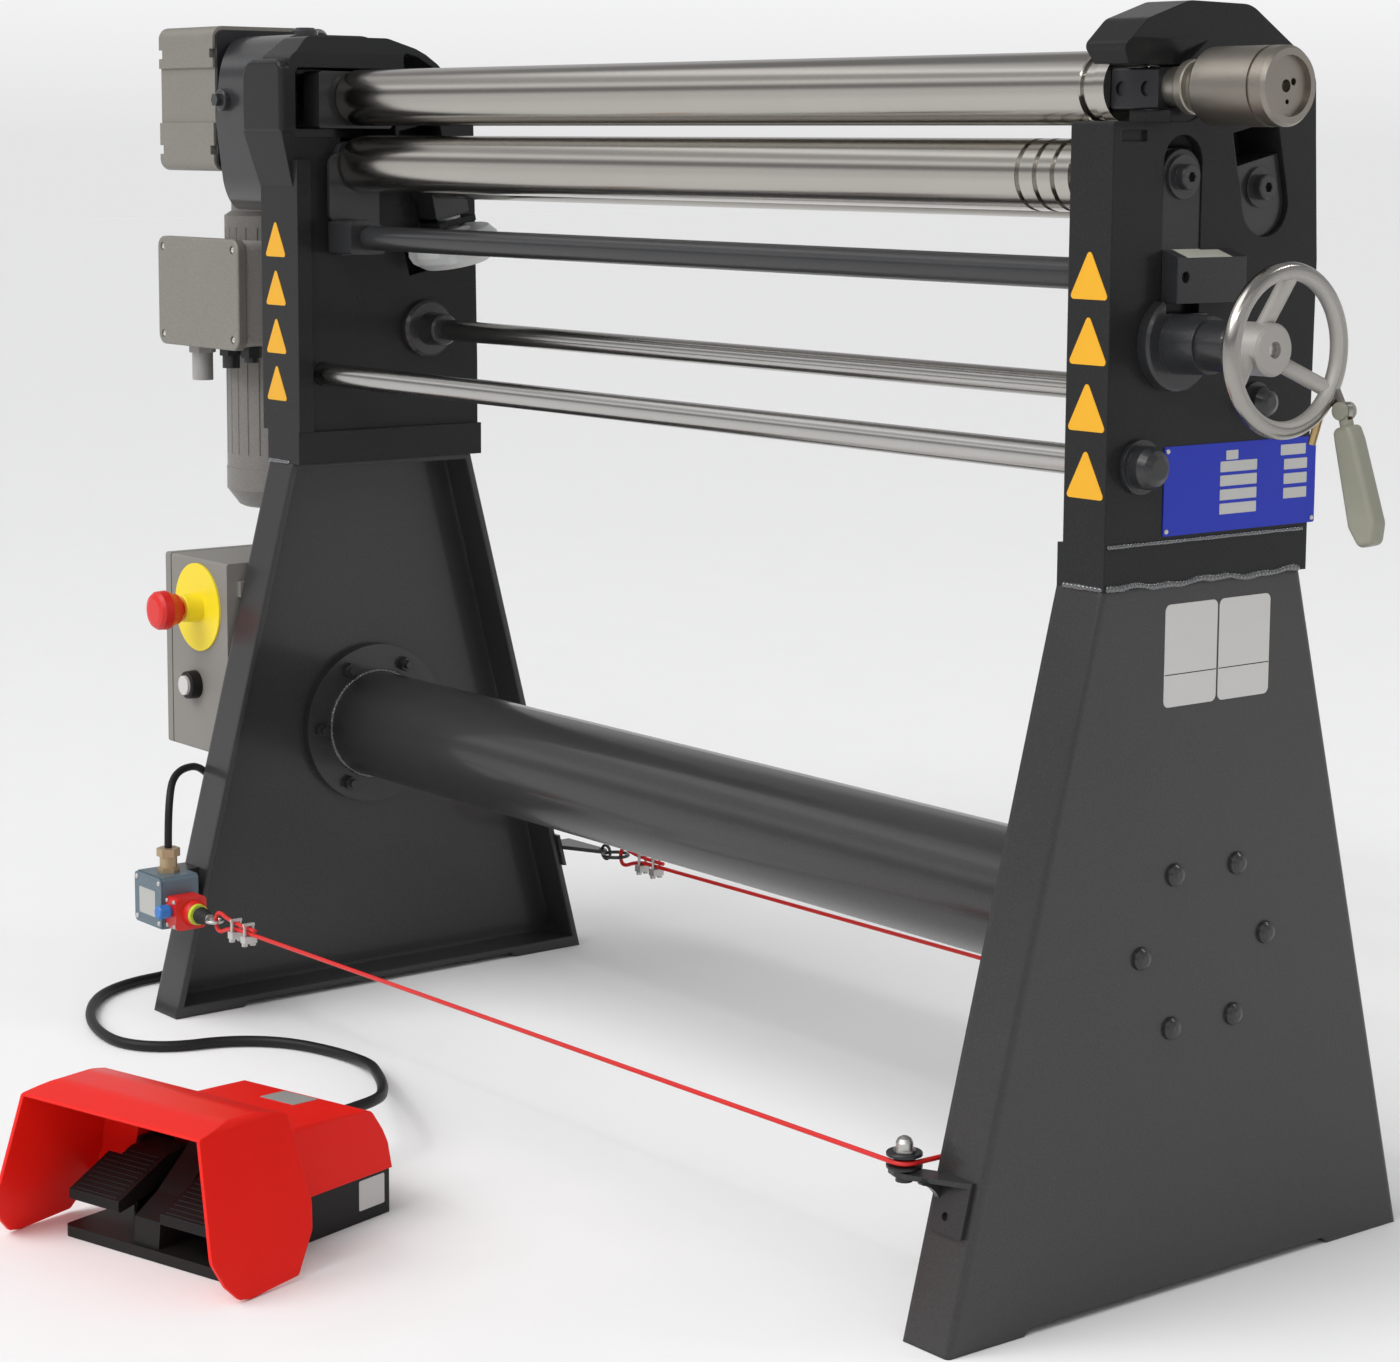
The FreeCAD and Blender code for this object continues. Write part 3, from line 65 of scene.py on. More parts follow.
class Site:
    """Where the machine frame lies in the row frame."""

    SHIFT = Vector((41.319, 207.974, 0.0))
    FOOT = (49.0, -602.0)
    TURN = math.radians(15.2)
    FOOT_AXES = ((math.cos(TURN), math.sin(TURN), 0.0), (-math.sin(TURN), math.cos(TURN), 0.0))

    @classmethod
    def at(cls, x: float, y: float, z: float) -> Vector:
        """Turn a machine point in millimetres into a row point in metres.

        Args:
            x: Distance along the rolls.
            y: Distance towards the rear.
            z: Height above the floor.

        Returns:
            The point in the row frame.
        """
        return (Vector((x, y, z)) + cls.SHIFT) / 1000.0

    @classmethod
    def foot(cls, x: float, y: float, z: float) -> Vec3:
        """Turn a point of the foot switch into a machine point, in millimetres.

        Args:
            x: Distance across the foot switch.
            y: Distance towards its rear.
            z: Height above the floor.

        Returns:
            The machine point.
        """
        across, along = cls.FOOT_AXES
        return tuple(Vector((*cls.FOOT, z)) + Vector(across) * x + Vector(along) * y)


class Surface(Enum):
    """Families of surface that share one node layout."""

    PAINT = "paint"
    GROUND = "ground"
    METAL = "metal"
    CAST = "cast"
    PLASTIC = "plastic"


@dataclass(frozen=True)
class Zone:
    """A box, or a cylinder along X inside it, in which a node has another colour."""

    low: Vec3
    high: Vec3
    colour: Colour
    roughness: float = 0.4
    metallic: float = 0.0
    round: bool = False


@dataclass(frozen=True)
class Finish:
    """One finish: its colour and the scale and depth of its detail."""

    name: str
    surface: Surface
    colour: Colour
    roughness: float = 0.45
    metallic: float = 0.0
    coat: float = 0.0
    specular: float = 0.5
    grain: float = 400.0
    bump: float = 0.15
    mottle: float = 0.12
    translucent: float = 0.0
    edge: float = 0.0
    zones: Tuple[Zone, ...] = ()


class Shader:
    """Builds the procedural node material of one finish."""

    BROAD_SCALE = 9.0
    BROAD_DETAIL = 4.0
    GRIND_MARKS = (1.0, 0.02, 0.02)
    SPECK_SCALE = 1.7
    SPECK_FROM, SPECK_TO = 0.50, 0.72
    SPECK_LIFT = 1.55
    SMOOTHEST, ROUGHEST = 0.82, 1.22
    BUMP_DEPTH = 0.0006
    COAT_ROUGHNESS = 0.12
    SCATTER = 0.01

    def __init__(self, finish: Finish) -> None:
        """Start an empty node tree.

        Args:
            finish: The finish to build.
        """
        self.finish = finish
        self.material = bpy.data.materials.new(finish.name)
        self.material.use_nodes = True
        self.tree = self.material.node_tree
        self.tree.nodes.clear()

    def node(self, kind: str, **values: object) -> bpy.types.Node:
        """Add a node and set its sockets or properties by name.

        Args:
            kind: Node type name.
            **values: Property values, or socket values with spaces as underscores.

        Returns:
            The new node.
        """
        made = self.tree.nodes.new(kind)
        for key, value in values.items():
            socket = made.inputs.get(key.replace("_", " "))
            if hasattr(made, key):
                setattr(made, key, value)
            elif socket is not None:
                socket.default_value = value
        return made

    def link(self, source: Socket, target: Socket) -> None:
        """Join an output socket to an input socket.

        Args:
            source: Output socket.
            target: Input socket.
        """
        self.tree.links.new(source, target)

    def math(self, operation: str, first: Union[float, Socket],
             second: Union[float, Socket]) -> Socket:
        """Add a math node; plain numbers and sockets are both accepted.

        Args:
            operation: Math operation name.
            first: First value or socket.
            second: Second value or socket.

        Returns:
            The result socket.
        """
        made = self.node("ShaderNodeMath", operation=operation)
        for index, value in enumerate((first, second)):
            if isinstance(value, (int, float)):
                made.inputs[index].default_value = value
            else:
                self.link(value, made.inputs[index])
        return made.outputs[0]

    def mix(self, factor: Socket, first: Union[Colour, Socket],
            second: Union[Colour, Socket]) -> Socket:
        """Mix two colours.

        Args:
            factor: Factor socket.
            first: Colour tuple or socket at factor 0.
            second: Colour tuple or socket at factor 1.

        Returns:
            The mixed colour socket.
        """
        made = self.node("ShaderNodeMix", data_type="RGBA")
        self.link(factor, made.inputs[0])
        for index, value in ((6, first), (7, second)):
            if isinstance(value, tuple):
                made.inputs[index].default_value = (*value, 1.0)
            else:
                self.link(value, made.inputs[index])
        return made.outputs[2]

    def blend(self, factor: Socket, first: Union[float, Socket], second: float) -> Socket:
        """Mix a socket or a number with a number.

        Args:
            factor: Factor socket.
            first: Socket or number at factor 0.
            second: Number at factor 1.

        Returns:
            The mixed value socket.
        """
        made = self.node("ShaderNodeMix", data_type="FLOAT")
        self.link(factor, made.inputs[0])
        if isinstance(first, float):
            made.inputs[2].default_value = first
        else:
            self.link(first, made.inputs[2])
        made.inputs[3].default_value = second
        return made.outputs[0]

    def noise(self, where: Socket, scale: float, detail: float = 3.0) -> Socket:
        """Add a noise texture.

        Args:
            where: Vector socket.
            scale: Noise scale in cycles a metre.
            detail: Octaves.

        Returns:
            The factor socket.
        """
        made = self.node("ShaderNodeTexNoise", Scale=scale, Detail=detail, Roughness=0.6)
        self.link(where, made.inputs["Vector"])
        return made.outputs[0]

    def inside(self, where: Socket, zone: Zone) -> Socket:
        """Mask that is 1 inside a zone.

        Args:
            where: Position socket in the row frame.
            zone: The zone.

        Returns:
            The mask socket.
        """
        split = self.node("ShaderNodeSeparateXYZ")
        self.link(where, split.inputs[0])
        low, high = Site.at(*zone.low), Site.at(*zone.high)
        mask = None
        if zone.round:
            offsets = [self.math("SUBTRACT", split.outputs[axis], (low[axis] + high[axis]) / 2)
                       for axis in (1, 2)]
            squares = [self.math("MULTIPLY", offset, offset) for offset in offsets]
            reach = (high[1] - low[1]) / 2
            mask = self.math("LESS_THAN", self.math("ADD", *squares), reach * reach)
        for axis in (0,) if zone.round else range(3):
            above = self.math("GREATER_THAN", split.outputs[axis], low[axis])
            below = self.math("LESS_THAN", split.outputs[axis], high[axis])
            both = self.math("MULTIPLY", above, below)
            mask = both if mask is None else self.math("MULTIPLY", mask, both)
        return mask

    def stretched(self, where: Socket) -> Socket:
        """Scale the coordinates unevenly, for the fine marks that run round a ground roll.

        Args:
            where: Vector socket.

        Returns:
            The scaled vector socket.
        """
        made = self.node("ShaderNodeMapping")
        made.inputs["Scale"].default_value = self.GRIND_MARKS
        self.link(where, made.inputs["Vector"])
        return made.outputs[0]

    def build(self) -> bpy.types.Material:
        """Build the whole material.

        Returns:
            The finished material.
        """
        finish = self.finish
        where = self.node("ShaderNodeTexCoord").outputs["Object"]
        fine = self.noise(where, finish.grain)
        broad = self.noise(where, self.BROAD_SCALE, self.BROAD_DETAIL)
        if finish.surface is Surface.GROUND:
            fine = self.noise(self.stretched(where), finish.grain, 2.0)
        dark = tuple(c * (1.0 - finish.mottle) for c in finish.colour)
        light = tuple(min(1.0, c * (1.0 + finish.mottle)) for c in finish.colour)
        colour = self.mix(broad, dark, light)
        if finish.surface in (Surface.PAINT, Surface.CAST):
            specks = self.node("ShaderNodeMapRange", From_Min=self.SPECK_FROM,
                               From_Max=self.SPECK_TO)
            self.link(self.noise(where, finish.grain * self.SPECK_SCALE, 2.0), specks.inputs[0])
            bright = tuple(min(1.0, c * self.SPECK_LIFT) for c in finish.colour)
            colour = self.mix(specks.outputs[0], colour, bright)
        spread = self.node("ShaderNodeMapRange", To_Min=finish.roughness * self.SMOOTHEST,
                           To_Max=min(1.0, finish.roughness * self.ROUGHEST))
        self.link(broad if finish.surface is not Surface.GROUND else fine, spread.inputs[0])
        rough, metal = spread.outputs[0], finish.metallic
        for zone in finish.zones:
            mask = self.inside(where, zone)
            colour = self.mix(mask, colour, zone.colour)
            rough = self.blend(mask, rough, zone.roughness)
            metal = self.blend(mask, metal, zone.metallic)
        bump = self.node("ShaderNodeBump", Strength=finish.bump,
                         Distance=self.BUMP_DEPTH)
        self.link(fine, bump.inputs["Height"])
        if finish.edge:
            worn = self.node("ShaderNodeBevel", Radius=finish.edge, samples=4)
            self.link(worn.outputs[0], bump.inputs["Normal"])
        bsdf = self.node("ShaderNodeBsdfPrincipled", Metallic=finish.metallic,
                         Coat_Weight=finish.coat, Coat_Roughness=self.COAT_ROUGHNESS,
                         Specular_IOR_Level=finish.specular,
                         Subsurface_Weight=finish.translucent, Subsurface_Scale=self.SCATTER)
        self.link(colour, bsdf.inputs["Base Color"])
        self.link(rough, bsdf.inputs["Roughness"])
        if finish.zones:
            self.link(metal, bsdf.inputs["Metallic"])
        self.link(bump.outputs[0], bsdf.inputs["Normal"])
        out = self.node("ShaderNodeOutputMaterial")
        self.link(bsdf.outputs[0], out.inputs["Surface"])
        return self.material


PAINT = Finish("anthracite_paint", Surface.PAINT, (0.031, 0.031, 0.0315), 0.30, coat=0.45,
               specular=0.26, grain=620.0, bump=0.26, mottle=0.14, edge=0.0016)
# Painted shade: the heads wear the same anthracite paint as the stands; this copy is about half as
# light so its colour stands in for the shade on the heads, as under the handwheel boss.
SHADED_HEAD_PAINT = Finish("anthracite_paint_on_heads", Surface.PAINT, (0.0165, 0.0168, 0.0175), 0.28,
              coat=0.10, specular=0.12, grain=620.0, bump=0.26, mottle=0.14, edge=0.0018)
STAND = Finish("anthracite_paint_on_sheet", Surface.PAINT, (0.031, 0.0305, 0.0305), 0.30,
               coat=0.35, specular=0.26, grain=620.0, bump=0.26, mottle=0.14, edge=0.006)
PAINT_FINE = Finish("anthracite_castings", Surface.PAINT, (0.022, 0.0225, 0.024), 0.32, coat=0.42,
                    specular=0.3, grain=520.0, bump=0.24, edge=0.0014)
CARRIAGE = Finish("near_slide_with_bare_top", Surface.PAINT, (0.022, 0.0225, 0.024), 0.32,
                  coat=0.1, specular=0.3, grain=520.0, bump=0.24, edge=0.0014, zones=(
                      Zone((586.6, -43, 784.9), (602.9, 4, 791), (0.60, 0.60, 0.52), 0.42, 0.2),))
BLACKED = Finish("blackened_steel", Surface.PAINT, (0.020, 0.020, 0.023), 0.34, metallic=0.35,
                 grain=700.0, bump=0.12)
GROUND = Finish("ground_roll_steel", Surface.GROUND, (0.47, 0.45, 0.415), 0.17, metallic=1.0,
                grain=900.0, bump=0.03, mottle=0.05)
REAR = Finish("oiled_roll_steel", Surface.GROUND, (0.32, 0.30, 0.265), 0.20, metallic=1.0,
              grain=900.0, bump=0.03, mottle=0.06)
UPPER = Finish("ground_roll_with_turned_neck", Surface.GROUND, (0.47, 0.45, 0.415), 0.17,
               metallic=1.0, grain=900.0, bump=0.03, mottle=0.05, zones=(
                   Zone((531, -70, 860), (700, 10, 950), (0.36, 0.335, 0.29), 0.44, 0.9),))
BRIGHT = Finish("bright_bar_steel", Surface.GROUND, (0.50, 0.49, 0.47), 0.20, metallic=1.0,
                grain=700.0, bump=0.04, mottle=0.06)
PLATED = Finish("zinc_plated_steel", Surface.METAL, (0.56, 0.55, 0.53), 0.40, metallic=0.55,
                grain=900.0, bump=0.08)
BRACKET = Finish("painted_bracket_with_plated_bolts", Surface.PAINT, (0.026, 0.0265, 0.0275),
                 0.32, coat=0.12, specular=0.3, grain=620.0, bump=0.2, zones=(
                     Zone((500, -300, 136.6), (560, -200, 170), (0.52, 0.51, 0.49), 0.3, 1.0),
                     Zone((500, 200, 127.1), (560, 300, 160), (0.52, 0.51, 0.49), 0.3, 1.0)))
TURNED = Finish("turned_sleeve_steel", Surface.METAL, (0.28, 0.255, 0.222), 0.36, metallic=1.0,
                grain=1400.0, bump=0.3, mottle=0.14)
ALLOY = Finish("cast_alloy_gearbox", Surface.CAST, (0.225, 0.212, 0.186), 0.5, metallic=0.35,
               grain=800.0, bump=0.35, mottle=0.12, edge=0.0012)
MOTOR = Finish("motor_alloy_paint", Surface.CAST, (0.180, 0.171, 0.158), 0.46, metallic=0.15,
               grain=600.0, bump=0.2, mottle=0.10)
TERMINAL = Finish("terminal_box_paint", Surface.CAST, (0.36, 0.345, 0.318), 0.46,
                  metallic=0.15, grain=600.0, bump=0.2, mottle=0.10)
BRASS = Finish("worm_wheel_bronze", Surface.METAL, (0.52, 0.36, 0.16), 0.35, metallic=1.0,
               grain=700.0, bump=0.12)
BOX = Finish("control_box_plastic", Surface.PLASTIC, (0.222, 0.211, 0.194), 0.5, grain=1500.0,
             bump=0.12, mottle=0.06)
MILKY = Finish("milky_nylon", Surface.PLASTIC, (0.56, 0.575, 0.565), 0.42, grain=300.0,
               bump=0.06, mottle=0.08, translucent=0.25)
GRIP = Finish("ivory_nylon_grip", Surface.PLASTIC, (0.25, 0.252, 0.20), 0.38, grain=300.0,
              bump=0.06, mottle=0.10, translucent=0.15)
BLACK = Finish("black_plastic", Surface.PLASTIC, (0.011, 0.0105, 0.0105), 0.42,
               specular=0.22, grain=900.0, bump=0.15, mottle=0.2)
TREAD = Finish("black_treadle", Surface.PLASTIC, (0.008, 0.008, 0.008), 0.5, specular=0.2,
               grain=500.0, bump=0.6, mottle=0.3)
RED = Finish("red_guard_plastic", Surface.PLASTIC, (0.85, 0.012, 0.006), 0.33, coat=0.05,
             specular=0.2, grain=600.0, bump=0.07, mottle=0.07, edge=0.0015)
RED_SMALL = Finish("red_switch_plastic", Surface.PLASTIC, (0.66, 0.014, 0.010), 0.36,
                   grain=900.0, bump=0.08, mottle=0.08)
YELLOW = Finish("yellow_plastic", Surface.PLASTIC, (0.85, 0.68, 0.018), 0.42, grain=700.0,
                bump=0.06, mottle=0.05)
YELLOW_TAPE = Finish("yellow_sticker", Surface.PLASTIC, (0.76, 0.38, 0.006), 0.38, grain=900.0,
                     bump=0.03, mottle=0.05)
BLUE = Finish("blue_plastic", Surface.PLASTIC, (0.03, 0.17, 0.52), 0.38, grain=700.0,
              bump=0.06, mottle=0.06)
BLUE_PLATE = Finish("blue_anodised_plate", Surface.METAL, (0.012, 0.030, 0.42), 0.33,
                    metallic=0.4, grain=600.0, bump=0.05, mottle=0.10)
WHITE = Finish("white_label", Surface.PLASTIC, (0.57, 0.56, 0.545), 0.45, grain=800.0,
               bump=0.04, mottle=0.04)
SILVER_LABEL = Finish("silver_label", Surface.METAL, (0.52, 0.52, 0.50), 0.42, metallic=0.5,
                      grain=800.0, bump=0.05, mottle=0.08)
HOUSING = Finish("rope_switch_housing", Surface.CAST, (0.105, 0.150, 0.185), 0.38,
                 metallic=0.2, grain=900.0, bump=0.15, zones=(
                     Zone((-600, -227.9, 80), (-540, -170, 160), (0.026, 0.0265, 0.0275), 0.3),))
BELLOWS = Finish("switch_bellows_rubber", Surface.PLASTIC, (0.013, 0.013, 0.014), 0.6,
                 grain=700.0, bump=0.2, mottle=0.2, zones=(
                     Zone((-498.4, -262, 96), (-493.6, -226, 133), (0.50, 0.62, 0.04), 0.4),
                     Zone((-474.5, -262, 96), (-440, -226, 133), (0.55, 0.54, 0.52), 0.3, 1.0)))
GLANDS = Finish("cable_gland_plastic", Surface.PLASTIC, (0.018, 0.018, 0.019), 0.45,
                grain=800.0, bump=0.15, mottle=0.2, zones=(
                    Zone((-570, -270, 140), (-530, -225, 175), (0.44, 0.33, 0.20), 0.4, 0.55),
                    Zone((-800, -95, 600), (-765, -50, 656), (0.33, 0.325, 0.31), 0.45)))
WHEEL = Finish("polished_handwheel", Surface.METAL, (0.34, 0.328, 0.306), 0.22, metallic=1.0,
               grain=500.0, bump=0.03, mottle=0.06, zones=(
                   Zone((640, -96.5, 669.5), (720, 10.5, 776.5), (0.40, 0.385, 0.36), 0.5, 0.45,
                        round=True),
                   Zone((686, -9, 650), (699, 1, 676), (0.46, 0.33, 0.16), 0.35, 1.0)))
ROPE = Finish("red_rope_sheath", Surface.PLASTIC, (0.64, 0.014, 0.012), 0.34, grain=900.0,
              bump=0.2, mottle=0.1)
CABLE = Finish("black_cable_sheath", Surface.PLASTIC, (0.010, 0.010, 0.011), 0.46,
               specular=0.25, grain=700.0, bump=0.15, mottle=0.3)
WELD = Finish("painted_weld", Surface.PAINT, (0.050, 0.052, 0.055), 0.16, coat=0.9,
              specular=0.8, grain=260.0, bump=0.4)
FLOOR = Finish("pale_floor", Surface.PLASTIC, (0.95, 0.95, 0.95), 0.8, grain=60.0, bump=0.02,
               mottle=0.01)

NODE_FINISH: Dict[str, Finish] = {
    "stand_near": STAND, "stand_far": STAND, "head_near": SHADED_HEAD_PAINT, "head_far": SHADED_HEAD_PAINT,
    "base_tube": PAINT, "carriage_near": CARRIAGE,
    "upper_roll": UPPER, "lower_roll": GROUND, "rear_roll": REAR,
    **{name: PAINT_FINE for name in (
        "gear_case", "carriage_far", "rear_block_near", "rear_block_far",
        "swing_block", "handwheel_boss", "cross_rod", "tie_rod_nuts", "flange_bolts",
        "lower_end_screw")},
    **{name: BLACKED for name in (
        "gearbox_plate", "drive_gear", "lower_gear", "near_journal", "pulley_front",
        "pulley_rear")},
    **{name: BRIGHT for name in ("tie_rods", "drive_shaft", "worm_shaft", "lift_shaft")},
    "rope_clips": PLATED, "rope_anchor": PAINT_FINE, "pulley_brackets": BRACKET,
    "grip_sleeve": TURNED, "handwheel": WHEEL, "gearbox": ALLOY, "worm_wheel": BRASS,
    "motor": MOTOR, "terminal_box": TERMINAL, "terminal_lid": ALLOY,
    "control_box": BOX, "control_lid": BOX, "stop_base": YELLOW, "stop_button": RED_SMALL,
    "push_bezel": BLACK, "push_cap": WHITE, "cable_glands": GLANDS,
    "rope_switch_body": HOUSING, "rope_switch_head": RED_SMALL, "switch_bellows": BELLOWS,
    "reset_knob": BLUE, "foot_guard": RED, "foot_base": BLACK, "treadle_left": TREAD,
    "treadle_right": TREAD, "adjust_knob_near": MILKY, "adjust_knob_far": MILKY,
    "folding_grip": GRIP,
}


class Paints:
    """Makes each finish once and hands out its material."""

    def __init__(self) -> None:
        """Start with no materials."""
        self.made: Dict[Finish, bpy.types.Material] = {}

    def get(self, finish: Finish) -> bpy.types.Material:
        """Return the material of a finish.

        Args:
            finish: The finish.

        Returns:
            Its material, built on first use.
        """
        if finish not in self.made:
            self.made[finish] = Shader(finish).build()
        return self.made[finish]

    def coat(self, obj: bpy.types.Object, finish: Finish) -> None:
        """Give an object one material.

        Args:
            obj: Mesh or curve object.
            finish: Its finish.
        """
        material = self.get(finish)
        if not obj.material_slots:
            obj.data.materials.append(material)
        for slot in obj.material_slots:
            slot.material = material


@dataclass(frozen=True)
class Patch:
    """A flat label or plate: an outline on a plane, in millimetres."""

    name: str
    origin: Vec3
    across: Vec3
    up: Vec3
    outline: Tuple[Tuple[float, float], ...]
    thickness: float
    finish: Finish
    slot: str


class Workshop:
    """Makes the pieces that only the looks need, and puts them on the frame."""

    HEAD_SIDES = 24
    HEAD_RINGS = ((0.0, 1.0), (0.45, 0.98), (0.8, 0.85), (1.0, 0.5))
    RECESS_RINGS = ((1.0, 0.36), (0.55, 0.31), (0.5, 0.0))
    CROWN_RINGS = ((1.04, 0.0),)
    RECESS_FLOOR = 0.55
    RECESS_PINCH = 0.82
    BEAD_SIDES = 10
    RIPPLE = 4.0
    RIM_SOFTNESS = 0.3
    SAME_PLACE = 1e-7

    def __init__(self, paints: Paints) -> None:
        """Keep the paints.

        Args:
            paints: Material store.
        """
        self.paints = paints

    def publish(self, name: str, mesh: bmesh.types.BMesh, finish: Finish,
                smooth: bool = True) -> None:
        """Turn a bmesh into a piece that rides on the frame.

        Args:
            name: Piece name.
            mesh: The mesh, in metres in the row frame.
            finish: Its finish.
            smooth: Whether its faces are shaded smooth.
        """
        bmesh.ops.recalc_face_normals(mesh, faces=mesh.faces)
        data = bpy.data.meshes.new(name)
        mesh.to_mesh(data)
        mesh.free()
        if smooth:
            data.shade_smooth()
        obj = bpy.data.objects.new(name, data)
        bpy.context.scene.collection.objects.link(obj)
        self.paints.coat(obj, finish)
        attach(obj, FRAME_BODY)
        LOG.info("piece %s", name)

    def patch(self, patch: Patch) -> None:
        """Make a flat label with softened edges.

        Args:
            patch: The label.
        """
        mesh = bmesh.new()
        across, up = Vector(patch.across), Vector(patch.up)
        base = Site.at(*patch.origin)
        corners = [mesh.verts.new(base + (across * a + up * b) * MM) for a, b in patch.outline]
        face = mesh.faces.new(corners)
        grown = bmesh.ops.extrude_face_region(mesh, geom=[face])
        top = [v for v in grown["geom"] if isinstance(v, bmesh.types.BMVert)]
        bmesh.ops.translate(mesh, verts=top, vec=across.cross(up) * patch.thickness * MM)
        rim = [e for e in mesh.edges if e.verts[0] in top and e.verts[1] in top]
        bmesh.ops.bevel(mesh, geom=rim, offset=patch.thickness * self.RIM_SOFTNESS * MM,
                        segments=2, affect="EDGES")
        self.publish(patch.name, mesh, patch.finish, False)

    def screws(self, name: str, spots: Sequence[Vec3], normal: Vec3, radius: float,
               height: float, cross: bool = True) -> None:
        """Spin a set of small plated screw heads.

        Args:
            name: Piece name.
            spots: Centres of the heads where they meet the surface.
            normal: Direction the heads face.
            radius: Head radius in millimetres.
            height: Head height in millimetres.
            cross: Whether the head has a recess.
        """
        mesh = bmesh.new()
        turn = Vector(normal).to_track_quat("Z", "Y").to_matrix().to_4x4()
        rings = self.HEAD_RINGS + (self.RECESS_RINGS if cross else self.CROWN_RINGS)
        for spot in spots:
            before = set(mesh.verts)
            outline = [mesh.verts.new((radius * share * MM, 0.0, level * height * MM))
                       for level, share in rings]
            edges = [mesh.edges.new(pair) for pair in zip(outline, outline[1:])]
            bmesh.ops.spin(mesh, geom=outline + edges, cent=(0, 0, 0), axis=(0, 0, 1),
                           angle=math.tau, steps=self.HEAD_SIDES, use_merge=True)
            bmesh.ops.remove_doubles(mesh, verts=[v for v in mesh.verts if v not in before],
                                     dist=self.SAME_PLACE)
            head = [v for v in mesh.verts if v not in before]
            for vert in head if cross else ():
                step = round(math.atan2(vert.co.y, vert.co.x) / math.tau * self.HEAD_SIDES)
                if step % 2 and abs(vert.co.z - self.RECESS_FLOOR * height * MM) < MM / 100:
                    vert.co.xy *= self.RECESS_PINCH
            bmesh.ops.transform(mesh, matrix=Matrix.Translation(Site.at(*spot)) @ turn,
                                verts=head)
        self.publish(name, mesh, PLATED)

    def swell(self, travelled: float) -> float:
        """Share by which a weld bead is thicker or thinner at a distance along it.

        Args:
            travelled: Distance along the bead in millimetres.

        Returns:
            The share of the bead's radius.
        """
        share = 1.0 + 0.12 * math.sin(travelled / self.RIPPLE * math.tau)
        return share + 0.10 * math.sin(travelled * 0.13) + 0.06 * math.sin(travelled * 0.41 + 1.0)

    def weld(self, name: str, path: Sequence[Vec3], radius: float, wander: float = 0.0) -> None:
        """Sweep a rippled weld bead along a path.

        Args:
            name: Piece name.
            path: Corner points of the bead.
            radius: Bead radius in millimetres.
            wander: How far the bead strays up and down, in millimetres.
        """
        points: List[Vector] = []
        corners = [Site.at(*p) for p in path]
        for start, end in zip(corners, corners[1:]):
            steps = max(2, int((end - start).length / MM / (self.RIPPLE / 4.0)))
            points += [start.lerp(end, k / steps) for k in range(steps)]
        points.append(corners[-1])
        mesh, previous, travelled = bmesh.new(), [], 0.0
        for index, point in enumerate(points):
            behind = points[max(index - 1, 0)]
            ahead = points[min(index + 1, len(points) - 1)] - behind
            travelled += (point - behind).length / MM
            share = self.swell(travelled)
            stray = math.sin(travelled * 0.071) + 0.6 * math.sin(travelled * 0.19 + 2.0)
            at_end = index in (0, len(points) - 1)
            if at_end:
                share *= 0.35
            place = Matrix.Translation(point + Vector((0.0, 0.0, wander * stray * MM)))
            turn = ahead.to_track_quat("Z", "Y").to_matrix().to_4x4()
            ring = bmesh.ops.create_circle(
                mesh, cap_ends=at_end, segments=self.BEAD_SIDES, radius=radius * share * MM,
                matrix=place @ turn @ Matrix.Rotation(math.pi / 2, 4, "Z"))["verts"]
            loop = list(dict.fromkeys(edge for vert in ring for edge in vert.link_edges))
            if previous:
                bmesh.ops.bridge_loops(mesh, edges=previous + loop)
            previous = loop
        self.publish(name, mesh, WELD)


def rounded(low: Tuple[float, float], high: Tuple[float, float],
            radius: float) -> Tuple[Tuple[float, float], ...]:
    """Outline of a rectangle with rounded corners.

    Args:
        low: Lowest corner.
        high: Highest corner.
        radius: Corner radius.

    Returns:
        The outline, anticlockwise.
    """
    steps = 6
    centres = ((high[0] - radius, high[1] - radius), (low[0] + radius, high[1] - radius),
               (low[0] + radius, low[1] + radius), (high[0] - radius, low[1] + radius))
    points = []
    for quarter, (a, b) in enumerate(centres):
        for k in range(steps + 1):
            angle = math.pi / 2 * (quarter + k / steps)
            points.append((a + radius * math.cos(angle), b + radius * math.sin(angle)))
    return tuple(points)


def triangle(base: float, height: float, radius: float) -> Tuple[Tuple[float, float], ...]:
    """Outline of an upright triangle with rounded corners, its base centred on zero.

    Args:
        base: Base width.
        height: Height.
        radius: Corner radius.

    Returns:
        The outline, anticlockwise.
    """
    steps = 4
    corners = [Vector((-base / 2, 0)), Vector((base / 2, 0)), Vector((0, height))]
    points = []
    for index, corner in enumerate(corners):
        before = (corners[index - 1] - corner).normalized()
        after = (corners[(index + 1) % 3] - corner).normalized()
        half = before.angle(after) / 2
        centre = corner + (before + after).normalized() * radius / math.sin(half)
        start = corner + before * radius / math.tan(half) - centre
        sweep = math.pi - 2 * half
        for k in range(steps + 1):
            turned = Matrix.Rotation(sweep * k / steps, 2) @ start
            points.append(tuple(centre + turned))
    return tuple(points)


